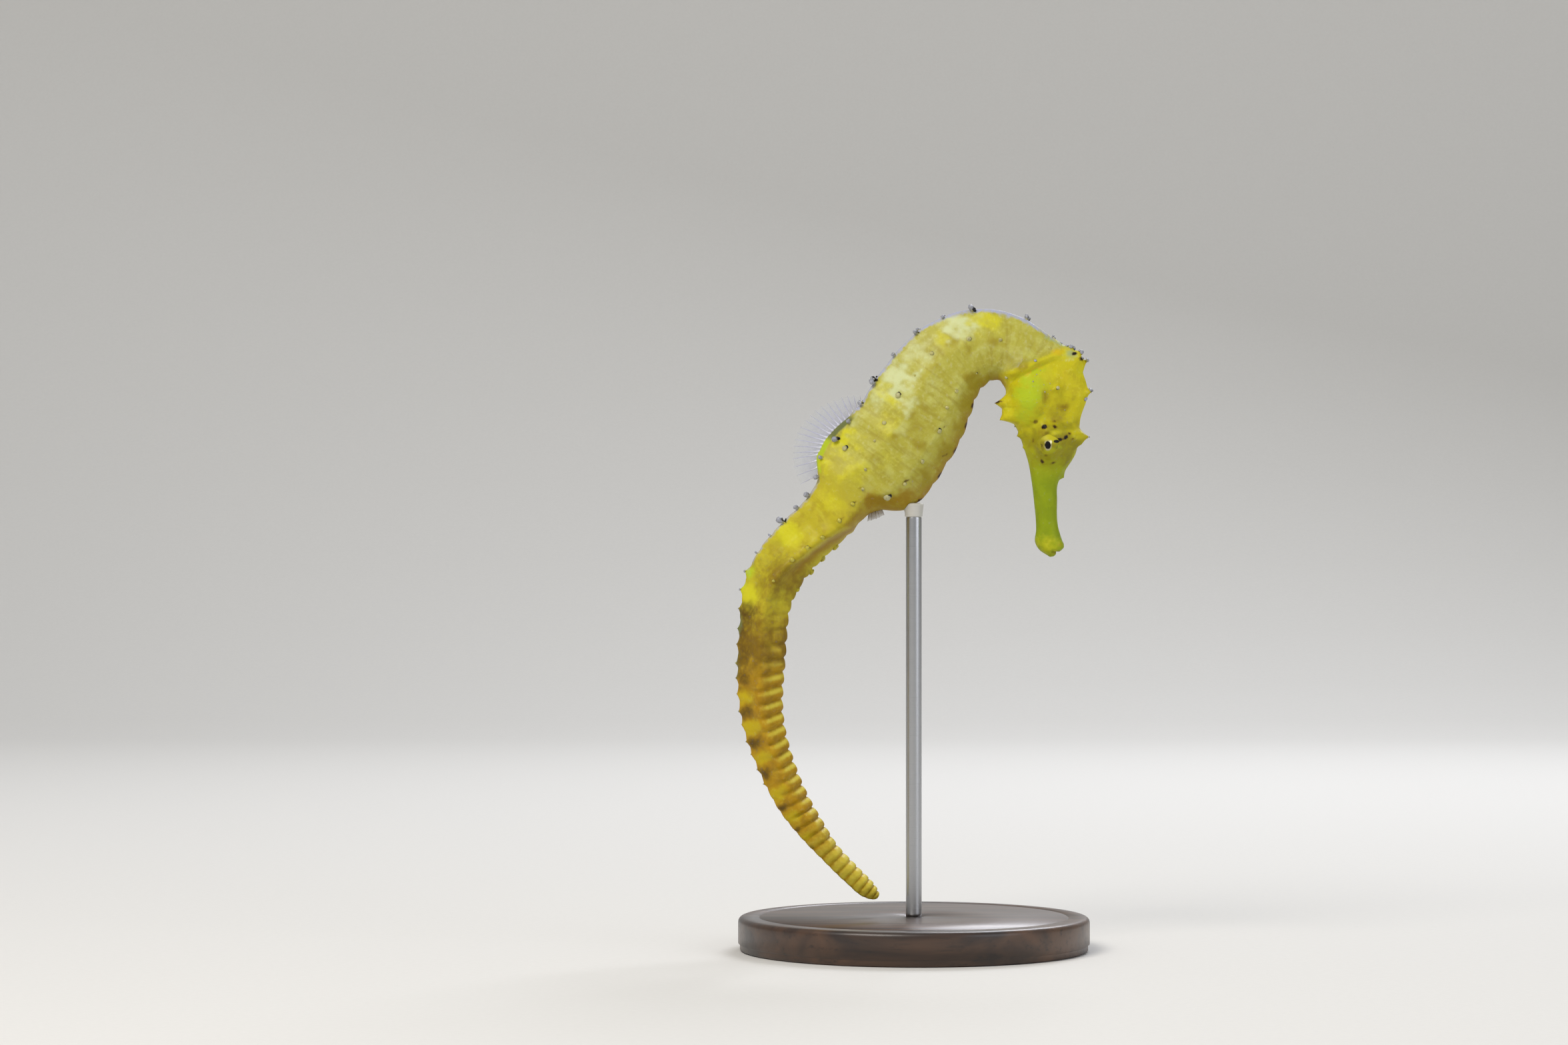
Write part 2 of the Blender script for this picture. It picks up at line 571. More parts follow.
# Low cones stand on the back ridges where the tail narrows: station, height, radius.
LOW_CONES = (54.2, 51.3, 48.2, 45.8, 43.2, 40.2, 38.2, 35.4, 33, 30.3, 27.9)
cones = [(62.8, 0.6, 1.1), (60.3, 0.6, 1.1), (57.3, 0.4, 0.9)]
cones += [(at, 0.24 * at / 55 + 0.04, 0.65) for at in LOW_CONES]
for at, height, radius in cones:
    row = row_at(at)
    for back_column in (AROUND // 8, AROUND - AROUND // 8):
        foot = skin[row, back_column].copy()
        out = outward(skin)[row, back_column]
        tailward = skin[row - 2, back_column] - skin[row + 2, back_column]
        out = out + 0.5 * tailward / np.linalg.norm(tailward)
        raise_spine(foot + out * height, foot - out, radius, 1.0)

# The mouth is a short slit across the front of the snout's end, over a rounded lower jaw.
MOUTH = ((24.3, 70.2), (27.2, 69.9))
x, z = skin[..., 0], skin[..., 2]
push_out(-0.4 * soft_line(x, z, MOUTH, 0.16) * ease(158, 160, station))

# ---------------------------------------------------------------- skin mesh and markings
# The markings are pigment in the skin. Each is painted on as a soft amount at every point, by
# its place on the body, and the skin's finish mixes the pigments and breaks up their edges.

# Pigments from the lowest coat to the highest.
PIGMENTS = {
    "olive": "#908812", "straw": "#d2c040", "tobacco": "#7e610e", "gilt": "#c0a810",
    "ochre": "#9a8a1e", "orange": "#9a7c10", "umber": "#5a430c", "green": "#b3c420",
    "lemon": "#cfc820", "pale": "#cdd298", "moss": "#6e7440", "rust": "#876a0e",
    "bronze": "#746c0a", "mint": "#a3b176", "amber": "#d2b61a", "edge": "#a9adc4",
}
tones = {name: np.zeros(x.shape) for name in PIGMENTS}


def lay(tone, amount):
    """Paints an amount of a pigment on the skin, where it isn't thicker already."""
    tones[tone] = np.maximum(tones[tone], amount)


# On the body, for each pigment: station, turn, reach along and round, amount.
BODY_PATCHES = {
    "pale": (
        (105, 0.36, 3.2, 0.1, 1), (102.6, 0.5, 2, 0.08, 0.75), (116.7, 0.36, 2.4, 0.09, 1),
        (100, 0.33, 2.6, 0.06, 0.6), (94, 0.3, 3, 0.05, 0.5), (110.5, 0.36, 2.6, 0.09, 0.6),
        (98, 0.56, 2, 0.08, 0.35), (108, 0.55, 3, 0.1, 0.3),
    ),
    "lemon": (
        (101.7, 0.37, 1.8, 0.08, 0.9), (96.9, 0.46, 2.5, 0.1, 0.5), (90, 0.3, 2.4, 0.1, 1),
        (84.6, 0.3, 1.6, 0.1, 0.8), (87, 0.5, 3, 0.12, 0.6), (92.5, 0.6, 2.4, 0.1, 0.4),
        (119.5, 0.36, 2.6, 0.09, 0.8), (80, 0.5, 3, 0.16, 0.6), (71.1, 0.42, 2.6, 0.2, 1),
        (113.6, 0.4, 1.2, 0.08, 0.7), (59.8, 0.42, 1.8, 0.22, 1),
    ),
    "ochre": (
        (99.1, 0.88, 2.2, 0.08, 1), (93.9, 0.87, 2.2, 0.08, 1), (113.8, 0.86, 3, 0.12, 1),
        (108.9, 0.9, 2.2, 0.08, 0.9), (104, 0.92, 2.2, 0.08, 0.8), (118.5, 0.92, 2.6, 0.1, 0.9),
        (99.6, 0.6, 1.6, 0.05, 0.6), (96.4, 0.54, 1.2, 0.04, 0.9), (97.8, 0.68, 1.4, 0.05, 0.8),
        (101.1, 0.56, 0.9, 0.035, 0.8), (103.4, 0.6, 1, 0.04, 0.7), (107, 0.36, 1.2, 0.05, 0.5),
        (114.6, 0.42, 1.6, 0.06, 0.75), (110, 0.52, 1.6, 0.05, 0.5), (120.8, 0.52, 1.4, 0.05, 0.7),
        (116.4, 0.56, 0.7, 0.05, 0.7), (94.4, 0.44, 1.4, 0.04, 0.5), (90.6, 0.5, 1.6, 0.05, 0.45),
        (86.6, 0.36, 1.4, 0.06, 0.5), (124, 0.62, 1.4, 0.06, 0.5), (66, 0.6, 3, 0.2, 0.5),
        (69.1, 0.44, 2, 0.16, 0.6), (65, 0.5, 2.4, 0.24, 0.5), (83, 0.58, 1.8, 0.1, 0.3),
        (76, 0.6, 2.4, 0.14, 0.35),
    ),
    "orange": (
        (89, 0.89, 2.6, 0.1, 1), (85.4, 0.84, 2.4, 0.12, 1), (81, 0.86, 3.4, 0.14, 0.8),
        (76, 0.9, 3.4, 0.14, 0.6),
    ),
    "tobacco": (
        (61.5, 0.6, 2.4, 0.2, 0.6), (43, 0.5, 6, 0.16, 0.5), (51.5, 0.6, 6.6, 0.7, 0.9),
        (64, 0.78, 5.5, 0.32, 0.75),
    ),
    "umber": (
        (64.2, 0.3, 1.4, 0.12, 0.4), (56.9, 0.4, 2.5, 0.24, 0.9), (53, 0.34, 2.4, 0.16, 0.75),
        (49.6, 0.4, 2.8, 0.2, 0.6), (45.6, 0.38, 1.6, 0.18, 0.7), (39.9, 0.4, 1.3, 0.2, 0.8),
        (34.7, 0.4, 1.3, 0.19, 0.85), (29.2, 0.36, 1.5, 0.18, 0.8), (22.8, 0.37, 0.95, 0.16, 0.85),
        (18.3, 0.33, 0.7, 0.12, 0.8), (14.4, 0.33, 0.6, 0.1, 0.6),
    ),
    "green": (
        (62.8, 0.3, 1.2, 0.12, 0.9), (60.2, 0.27, 1.2, 0.07, 0.9),
    ),
    "moss": (
        (54.5, 0.26, 3, 0.1, 0.9), (48, 0.25, 3, 0.09, 0.8),
    ),
    "gilt": (
        (42.4, 0.4, 1.4, 0.24, 1), (37.3, 0.43, 1.35, 0.27, 1), (32, 0.46, 1.2, 0.3, 1),
        (25.4, 0.45, 1.3, 0.3, 1), (20.4, 0.42, 1.2, 0.24, 1), (16.4, 0.4, 0.9, 0.2, 0.8),
    ),
}


def ruffle(seed, wavelength):
    """A smooth random field over the skin, about -1 to 1, with features of a given size in mm."""
    waves = np.random.default_rng(seed)
    field = np.zeros(station.shape)
    for _ in range(9):
        way = waves.normal(size=3)
        way *= 2 * math.pi / wavelength * waves.uniform(0.6, 1.6) / np.linalg.norm(way)
        field += np.sin(skin @ way + waves.uniform(0, 2 * math.pi)) / 3
    return field


ruffle_along = 0.75 * ruffle(11, 3.5) + 0.35 * ruffle(12, 1.4)
ruffle_round = 0.75 * ruffle(13, 3.5) + 0.35 * ruffle(14, 1.4)
far = np.where(side < 0, 0.5, 0)  # the left flank's patches sit a little headwards
for tone, patches in BODY_PATCHES.items():
    for at, round_to, along, around, amount in patches:
        ragged = 0.42 if at > 84 else 0.22
        d = np.hypot(
            (station - at - far) / along + ragged * ruffle_along,
            (turn - round_to) / around + ragged * ruffle_round,
        )
        lay(tone, amount * np.exp(-(d**2.1)))

# On the head, in the side view, for each pigment: centre, radii, angle, amount.
HEAD_PATCHES = {
    "olive": (
        ((24, 89.8), (6.5, 4.2), 0, 1),
    ),
    "bronze": (
        ((27.3, 87.4), (1.5, 3), -35, 0.55), ((25.4, 70.2), (1.7, 0.4), 4, 0.85),
    ),
    "green": (
        ((20.4, 98), (3, 5), -12, 0.95), ((21.2, 102.2), (2.2, 1.1), 25, 0.75),
        ((25.6, 88.8), (0.7, 0.5), -30, 0.5),
    ),
    "ochre": (
        ((18.8, 103), (1.6, 0.7), 28, 0.8), ((25.4, 94.8), (2.6, 1.8), 0, 0.5),
        ((28, 97.2), (0.9, 1.2), 0, 0.5), ((17.4, 97.8), (1.2, 3), 0, 0.4),
        ((25.6, 71.5), (0.6, 0.4), 0, 0.6),
    ),
    "amber": (
        ((20.8, 102.4), (3, 0.3), 31, 0.8), ((25.2, 105.5), (1.1, 0.7), 20, 0.9),
        ((26.6, 101.4), (1, 2), 0, 0.4),
    ),
    "lemon": (
        ((25, 104.6), (2.8, 0.8), 20, 1), ((23.4, 101.6), (1.6, 2), 0, 0.6),
        ((29.6, 102.2), (1.3, 2.2), 10, 0.7), ((24.6, 91.3), (1.6, 0.6), 10, 0.7),
        ((23.4, 89), (1.9, 1.8), 0, 0.5), ((16.6, 95), (1, 1.4), 0, 0.6),
        ((29, 90.4), (1, 0.5), 0, 0.6), ((23.4, 71.2), (2.9, 2.2), 0, 0.55),
    ),
    "pale": (
        ((27.2, 104.2), (1.2, 0.3), 5, 0.6),
    ),
    "mint": (
        ((27.6, 105.2), (1.3, 0.7), -20, 0.9), ((26.4, 106.9), (1.6, 0.5), -30, 0.9),
        ((24, 107.9), (2.2, 0.5), -25, 0.7), ((27, 72.4), (0.9, 0.9), 0, 1),
    ),
    "rust": (
        ((22.9, 97.4), (0.9, 1.5), 0, 0.7), ((26.4, 96), (1.1, 1), 0, 0.75),
        ((25.2, 93.6), (2, 0.9), 0, 0.45), ((21.8, 94.6), (1.2, 0.9), 0, 0.4),
        ((22.3, 91.2), (0.8, 1.1), 20, 0.6),
    ),
}
on_head = ease(123, 127, station)
for tone, patches in HEAD_PATCHES.items():
    for centre, radii, angle, amount in patches:
        ragged_x, ragged_z = 0.3 * radii[0] * ruffle_along, 0.25 * radii[1] * ruffle_round
        lay(tone, amount * on_head * soft_spot(x + ragged_x, z + ragged_z, centre, radii, angle))

# The edge of the back is thin, translucent skin, bluish white from the neck to the tail.
below_back = reach_back[:, None] - up
edge_width = np.maximum(0.45 + 0.3 * ruffle_along + 0.2 * ease(112, 120, station), 0.15)
edge_of_back = (1 - ease(0, 1.6 * edge_width, below_back)) * ease(93, 97, station)
edge_of_back *= 1 - ease(127, 132, station)
tail_edge = (1 - ease(0.1, 0.6, below_back)) * ease(60, 66, station) * (1 - ease(80, 83, station))
near_ridge = 0.3 + 0.7 * swell(turn, 0.24, 0.1)
tones["edge"] = np.maximum(0.85 * edge_of_back, 0.6 * tail_edge) * near_ridge
# The fin's root is a fleshy strip along the back, leaf green at its tailward end.
fin_root = (1 - ease(0.7, 1.2, below_back)) * ease(82, 82.8, station)
lay("green", fin_root * (1 - ease(87.5, 90.5, station)))
lay("moss", fin_root * ease(87, 90, station) * (1 - ease(93.5, 96, station)))
# The beads of the tail are straw yellow on their headward shoulders.
shoulder = swell(phase, 0.72, 0.22) * ease(0.55, 1, turn_round) * (turn_round < 1.6)
lay("straw", 0.95 * belly_face * shoulder * (1 - ease(48, 58, station)))
lay("straw", 0.9 * (1 - ease(6, 26, station)) * (0.3 + 0.7 * crest))
# How far from lemon to gold the ground colour has gone: trunk, upper tail, lower tail.
tones["tail_root"] = 1 - ease(78, 92, station)
tones["gold"] = 1 - ease(44, 62, station)
# The head's colour starts at the shoulder ridge, which slants across the neck.
SHOULDER_SLANT = math.radians(22)
past_shoulder = (x - 15.9) * math.sin(SHOULDER_SLANT) - (z - 101.3) * math.cos(SHOULDER_SLANT)
past_shoulder = np.where(station > 122, past_shoulder + 1.2, 0)
tones["throat"] = ease(0.82, 1, turn) * ease(61, 68, station) * (1 - ease(124, 130, station))
tones["face"] = ease(0, 1.2, past_shoulder)
tones["leaf"] = ease(139, 152, station)
tones["crest"] = 1 - (1 - crest) * (0.2 + 0.8 * belly_face)
# Coordinates that follow the body: along it, and round it as on a drum.
DRUM_RADIUS = 5
drum = np.stack([
    station, DRUM_RADIUS * np.cos(math.pi * turn_round), DRUM_RADIUS * np.sin(math.pi * turn_round)
], 2) * MM

# Small dark spots of the head, in the side view: centre, radii, angle, darkness. Stored as the
# distance in mm to the edge of the nearest spot, which the skin's finish draws sharply.
DARK_SPOTS = (
    ((21.3, 93.2), (0.38, 0.34), 0, 0.6), ((22.8, 92.3), (0.46, 0.4), 0, 1),
    ((24.7, 92.3), (0.36, 0.26), -40, 0.9), ((24.6, 93.3), (0.26, 0.18), 0, 0.6),
    ((25.4, 90), (0.54, 0.27), 20, 1), ((26.6, 90.5), (0.4, 0.38), 0, 1),
    ((27.3, 91.2), (0.24, 0.26), 0, 0.9), ((28, 90.2), (0.32, 0.16), 20, 0.75),
    ((20.9, 89.9), (0.18, 0.3), 0, 0.5), ((23.1, 87.3), (0.16, 0.16), 0, 0.4),
    ((22.5, 86.2), (0.4, 0.24), -60, 0.9), ((24.4, 86), (0.36, 0.18), 25, 0.8),
    ((23.9, 106.1), (0.22, 0.14), 0, 0.7), ((28.2, 105.3), (0.42, 0.26), 10, 1),
    ((28.8, 106.1), (0.4, 0.3), 20, 1), ((29.4, 104.3), (0.34, 0.26), -30, 1),
    ((14.6, 96.75), (0.7, 0.2), 5, 0.9), ((15.5, 93.2), (0.6, 0.16), -10, 0.7),
    ((23.2, 91.2), (0.3, 0.3), 0, 0.3),
)
# Dashes and smudges over the low knobs of the flank, in the side view, given the same way.
FLANK_DASHES = (
    ((-18.85, 71.15), (0.5, 0.13), -8, 0.6), ((-21.5, 68.7), (0.65, 0.2), -5, 0.4),
    ((-16.07, 72.95), (0.45, 0.15), 15, 0.4), ((-13.1, 76), (0.5, 0.13), 28, 0.6),
    ((-10.6, 79), (0.4, 0.13), 20, 0.75), ((-1.4, 82.8), (0.45, 0.14), 20, 0.75),
    ((-8.2, 85), (0.3, 0.12), 10, 0.5), ((-9.3, 81.6), (0.3, 0.1), 20, 0.4),
    ((5.5, 87.4), (0.4, 0.12), 30, 0.7), ((5.4, 92.4), (0.3, 0.1), 40, 0.6),
)
# Black dashes along the keel of the belly, where each ring crosses it: station.
KEEL_MARKS = (109.3, 105.1, 100.5, 95.7, 90.3)
keel_dashes = []
for at in KEEL_MARKS:
    row = row_at(at)
    lean = math.degrees(float(heading[row, 0]))
    keel_dashes.append(((x[row, AROUND // 2], z[row, AROUND // 2]), (0.6, 0.3), lean, 0.9))
tones["spot_gap"] = np.full(x.shape, 1.0)
tones["spot_dark"] = np.zeros(x.shape)
for centre, radii, angle, dark in DARK_SPOTS + FLANK_DASHES + tuple(keel_dashes):
    on_part = (station > 122) == (centre[0] > 14)  # the head's spots stay off the neck
    gap = (radii_out(x, z, centre, radii, angle) - 1) * min(radii)
    gap = np.where(on_part, gap, 1)
    tones["spot_dark"] = np.where(gap < tones["spot_gap"], dark, tones["spot_dark"])
    tones["spot_gap"] = np.minimum(tones["spot_gap"], gap)


def ringed_piece(name, rings, ends, material, clockwise=False):
    """A closed piece from rings of points in mm, one after another, and a point at each end.
    The rings turn anticlockwise, seen from the last end, so that the faces point outwards."""
    rings = np.array(rings)
    rows, around = rings.shape[:2]
    last = (rows - 1) * around
    faces = []
    for j in range(around):
        k = (j + 1) % around
        faces += [(rows * around, k, j), (rows * around + 1, last + j, last + k)]
        for a, b in zip(range(j, last, around), range(k, last, around)):
            faces.append((a, b, b + around, a + around))
    if clockwise:
        faces = [face[:1] + face[:0:-1] for face in faces]
    return mesh_object(name, np.concatenate([rings.reshape(-1, 3), ends]) * MM, faces, material)


def stored(mesh, name, values):
    """Keeps a number or a vector for each vertex under a name."""
    values = np.array(values, float)
    kind, field = ("FLOAT_VECTOR", "vector") if values.ndim > 1 else ("FLOAT", "value")
    mesh.attributes.new(name, kind, "POINT").data.foreach_set(field, values.reshape(-1))


# Satin skin: a thin mucous film over pigment in soft, slightly translucent tissue, so it looks
# matt to silky, with light bleeding a little way through its edges.
satin_skin, tree, place = new_material("satin_skin")
amount = {
    tone: add_node(tree, "ShaderNodeAttribute", attribute_name=tone).outputs["Fac"]
    for tone in tones
}
drum_place = add_node(tree, "ShaderNodeAttribute", attribute_name="drum").outputs["Vector"]
cloud = add_node(tree, "ShaderNodeTexNoise", {"Vector": place, "Scale": 420.0, "Detail": 4.0})
grain = add_node(tree, "ShaderNodeTexNoise", {"Vector": place, "Scale": 2600.0, "Detail": 3.0})
fleck = add_node(tree, "ShaderNodeTexNoise", {"Vector": place, "Scale": 1500.0, "Detail": 2.0})
# Skin folds run round the body, about 0.8 mm apart and 4 mm long.
along_folds = add_node(tree, "ShaderNodeMapping", {
    "Vector": drum_place, "Scale": (1000, 280, 280)})
folds = add_node(tree, "ShaderNodeTexNoise", {
    "Vector": along_folds, "Scale": 1.0, "Detail": 2.0, "Distortion": 0.6})


def band(noise, low, high, most):
    """A soft amount where a noise lies above a level."""
    return add_node(tree, "ShaderNodeMapRange", {
        "Value": noise, "From Min": low, "From Max": high, "To Max": most,
    }, interpolation_type="SMOOTHSTEP")


def shaken(value, noise, wobble):
    """A value moved up and down by a noise."""
    shift = add_node(tree, "ShaderNodeMath", {0: noise, 1: 0.5}, operation="SUBTRACT")
    return add_node(tree, "ShaderNodeMath", {
        0: shift, 1: wobble, 2: value,
    }, operation="MULTIPLY_ADD")


trunk_tone = painted(
    "#b3ac42", ("#c5c468", band(cloud, 0.44, 0.7, 0.7)), ("#9a8b2e", band(folds, 0.42, 0.78, 0.6)),
    ("#c9c671", band(fleck, 0.45, 0.75, 0.4)),
)
root_tone = painted(
    "#bcae24", ("#ac9920", band(cloud, 0.5, 0.64, 0.7)), ("#c8bf32", band(folds, 0.5, 0.7, 0.5)),
)
tail_tone = painted(
    "#b0880c", ("#94700a", band(cloud, 0.46, 0.62, 0.6)), ("#c0a228", band(folds, 0.5, 0.7, 0.4)),
)
head_tone = painted(
    "#c6bb12", ("#ac9c12", band(cloud, 0.46, 0.64, 0.4)), ("#d2c914", band(fleck, 0.5, 0.68, 0.5)),
)
snout_tone = painted("#849408", ("#8c9c08", band(cloud, 0.45, 0.65, 0.8)))
colour = painted(
    trunk_tone, (root_tone, amount["tail_root"]), (tail_tone, amount["gold"]),
    (head_tone, amount["face"]), (snout_tone, amount["leaf"]),
    ("#926f0c", amount["throat"], band(cloud, 0.2, 0.45, 0.9)),
)
# Each pigment's edge is broken up by flecks.
SOFTNESS = {"green": 0.3, "olive": 0.3, "pale": 0.3, "edge": 1.1}
for tone, pigment in PIGMENTS.items():
    broken = add_node(tree, "ShaderNodeMapRange", {
        "Value": shaken(amount[tone], fleck, SOFTNESS.get(tone, 0.5)), "From Min": 0.1,
    }, interpolation_type="SMOOTHSTEP")
    colour = painted(colour, (pigment, broken))
trough = add_node(tree, "ShaderNodeMapRange", {
    "Value": amount["crest"], "From Max": 0.5, "To Min": 0.4, "To Max": 0.0,
}, interpolation_type="SMOOTHSTEP")
colour = painted(colour, ("#80600a", trough, amount["gold"]))
# Dark spots: a brown rim, then a smaller black core.
spot_edge = shaken(amount["spot_gap"], fleck, 0.4)
for pigment, blur, darkness in (
    ("#6c350c", 0.24, [amount["spot_dark"]]), ("#0a0402", 0.09, [amount["spot_dark"]] * 2),
):
    inside = add_node(tree, "ShaderNodeMapRange", {
        "Value": spot_edge, "From Min": -blur, "From Max": blur, "To Min": 1.0, "To Max": 0.0,
    }, interpolation_type="SMOOTHSTEP")
    colour = painted(colour, (pigment, inside, *darkness))

relief = fleck
for noise, height in ((grain, 0.3), (folds, 0.8), (cloud, 1.6)):
    relief = add_node(tree, "ShaderNodeMath", {
        0: noise, 1: height, 2: relief,
    }, operation="MULTIPLY_ADD")
add_node(tree, "ShaderNodeOutputMaterial", {
    "Surface": add_node(tree, "ShaderNodeBsdfPrincipled", {
        "Base Color": colour, "IOR": 1.36, "Specular IOR Level": 0.35, "Subsurface Weight": 0.2,
        "Subsurface Radius": (1.0, 0.6, 0.25), "Subsurface Scale": 0.0012, "Coat Weight": 0.06,
        "Coat Roughness": 0.12, "Roughness": add_node(tree, "ShaderNodeMapRange", {
            "Value": grain, "To Min": 0.5, "To Max": 0.68}),
        "Normal": add_node(tree, "ShaderNodeBump", {
            "Strength": 0.6, "Distance": 0.00014, "Height": relief}),
    }),
})

body_skin = ringed_piece("body_skin", skin, [skin[0].mean(0), skin[-1].mean(0)], satin_skin)
for name, values in tones.items():
    ends = [values[0].mean(), values[-1].mean()]
    stored(body_skin.data, name, np.append(values.reshape(-1), ends))
stored(body_skin.data, "drum", np.append(drum.reshape(-1, 3), np.zeros((2, 3)), 0))
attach(body_skin, "root")
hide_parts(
    "tail_tip", "tail_lower", "tail_middle", "tail_upper", "trunk", "neck", "head",
    "snout",
)

# ---------------------------------------------------------------- skin knobs
# Each ring ends in small fleshy knobs where the ridges cross it: pale pear-shaped pegs on thin
# stalks along the back, and low domes on the flank. Many have a black mark at the headward foot.

normal_grid = outward(skin)
along_grid = np.gradient(skin, axis=0)
along_grid /= np.maximum(np.linalg.norm(along_grid, axis=2, keepdims=True), 1e-9)


def spot_on_body(at, round_to):
    """Nearest row and column of the skin to a station and a turn."""
    return row_at(at), int(round(round_to * AROUND / 2)) % AROUND


def skin_frame(row, column, tilt):
    """Where a knob stands and its turn as XYZ angles: Z outward, X towards the head."""
    out = Vector(normal_grid[row, column])
    head_way = Vector(along_grid[row, column])
    out = (out - math.tan(math.radians(tilt)) * head_way).normalized()
    side_way = out.cross(head_way).normalized()
    matrix = Matrix((side_way.cross(out), side_way, out)).transposed()
    return Vector(skin[row, column]), matrix.to_euler("XYZ")


# Station, size, black at the foot, green.
BACK_PEGS = (
    (128.2, 0.5, 0.8, 0), (124.6, 1, 0.6, 0), (118.5, 1.25, 1, 0), (115.3, 0.7, 0.3, 0),
    (112, 1, 0.8, 0), (108, 0.8, 0.5, 0), (102.8, 1.35, 1, 0), (97.8, 0.95, 0.8, 0),
    (93.9, 0.95, 0.3, 0), (89.4, 1.3, 1, 0), (84.5, 0.9, 0.2, 0), (81.8, 1.1, 0.2, 0),
    (78.3, 1.25, 0.4, 0), (75.3, 1, 0.3, 0), (71.8, 1.5, 1, 0), (68.7, 0.6, 0.3, 0),
    (65.7, 0.5, 0.3, 0), (62.8, 0.7, 0, 0), (60.3, 0.7, 0, 0), (57.3, 0.45, 0.6, 0),
    (54.2, 0.4, 0.2, 0.3), (51.3, 0.4, 0.2, 0.3), (48.2, 0.45, 0.6, 0.3), (45.8, 0.45, 0.1, 0.2),
    (43.2, 0.4, 0.1, 0.2), (40.2, 0.36, 0.3, 0.2), (38.2, 0.36, 0.1, 0.2), (35.4, 0.36, 0.2, 0.2),
    (33, 0.34, 0.1, 0.2), (30.3, 0.34, 0.1, 0.2), (27.9, 0.32, 0.1, 0.2),
)
# Station, turn, size, black at the foot.
FLANK_KNOBS = (
    (121.6, 0.48, 0.7, 0.3), (117, 0.465, 1, 0.6), (111.5, 0.426, 0.9, 0.6),
    (107.2, 0.418, 0.4, 0.4), (102.8, 0.41, 1.2, 1), (97.3, 0.426, 0.9, 0), (93.5, 0.434, 0.6, 0),
    (89, 0.344, 1.2, 1), (88.6, 0.551, 0.7, 0.3), (85.8, 0.664, 0.7, 0.4),
    (124.8, 0.848, 0.5, 0.8), (115.6, 0.801, 0.4, 1), (109.3, 0.734, 0.8, 0.5),
    (105.6, 0.723, 0.8, 0.6), (101.5, 0.773, 1, 1), (95.8, 0.801, 0.9, 0.6),
    (90.9, 0.797, 0.9, 0.6), (87.5, 0.816, 1.5, 1), (82.6, 0.695, 0.9, 0.9), (79, 0.69, 0.9, 0.9),
    (74.8, 0.75, 1.05, 1), (71.4, 0.73, 0.9, 0.9), (68, 0.73, 0.9, 0.9), (63.1, 0.75, 0.7, 0.5),
)
# Crown, temple and shoulder knobs in the side view: x, z, size, black at the foot.
HEAD_KNOBS = (
    (27.7, 106.4, 1.3, 0.3), (28.3, 106.5, 1.3, 1), (29.1, 105.8, 1.1, 0.9),
    (29.6, 105.3, 1.4, 0.4), (29.9, 104.8, 1.2, 0.3), (30.5, 104.2, 1.4, 0.3),
    (26, 107.1, 0.6, 0.3), (26.9, 106.7, 0.7, 0.8), (31.2, 98.7, 1.4, 0.6),
    (30.3, 97.4, 1.2, 0.2), (25.06, 99.06, 1.15, 0.9), (21.3, 104, 0.85, 0.3),
    (16.2, 101.1, 0.9, 0.4), (17.7, 92.5, 0.6, 0.2), (30.8, 90.7, 0.6, 0), (22.2, 102.2, 0.34, 0),
    (21.5, 101.6, 0.36, 0), (21.1, 101.1, 0.32, 0), (20.7, 100.2, 0.34, 0), (20.6, 99.4, 0.34, 0),
    (23.6, 99.9, 0.28, 0), (22.9, 98.4, 0.26, 0), (22.7, 96, 0.28, 0), (26.35, 95.3, 0.32, 0),
    (23.2, 98, 0.24, 0), (24, 98.8, 0.26, 0), (22.6, 99.6, 0.24, 0),
)


def knob_points(name, rows):
    """A mesh of bare points, each with the turn, size and markings of its knob."""
    mesh = bpy.data.meshes.new(name)
    mesh.from_pydata([row[0] * MM for row in rows], [], [])
    for column, label in enumerate(("turn", "size", "black", "green", "white"), 1):
        stored(mesh, f"knob_{label}", [row[column] for row in rows])
    return new_object(name, mesh)


PEGS_FROM = 64  # station where the back's pegs start, with low knobs tailwards of it
PEG_TILT, LOW_TILT, FLANK_TILT, HEAD_TILT = 17, 30, 4, 5
back_rows, flank_rows = [], []
for at, size, black, green in BACK_PEGS:
    middle_turn = 0.25 if at < 122 else 0.14
    for peg_turn, far in ((middle_turn, 0), (2 - middle_turn, 0.4)):
        row, column = spot_on_body(at + far, peg_turn)
        if at > PEGS_FROM:
            back_rows.append((*skin_frame(row, column, PEG_TILT), size, black, green, 1))
        else:
            flank_rows.append((*skin_frame(row, column, LOW_TILT), size, 0, green, 1))
for at, round_to, size, black in FLANK_KNOBS:
    for knob_turn, far in ((round_to, 0), (2 - round_to, 0.5)):
        row, column = spot_on_body(at + far, knob_turn)
        white = 0.1 if at < 84 else min(0.9, 0.2 + 0.5 * size)
        if at < 84 and far:
            size, black, white = 1.7 * size, 0, 0
        knob = (1.15 * size, black, 0, white)
        flank_rows.append((*skin_frame(row, column, FLANK_TILT), *knob))
near_side = (side > 0) & (station > 124) & (normal_grid[..., 1] < 0.1)
for at_x, at_z, size, black in HEAD_KNOBS:
    distance = np.where(near_side, np.hypot(skin[..., 0] - at_x, skin[..., 2] - at_z), 1e9)
    row, column = np.unravel_index(np.argmin(distance), distance.shape)
    knob = (0.8 * size, black, 0, 1 if at_z > 103 or at_x > 29 else 0.85)
    flank_rows.append((*skin_frame(row, column, HEAD_TILT), *knob))
    if column:
        flank_rows.append((*skin_frame(row, AROUND - column, HEAD_TILT), *knob))

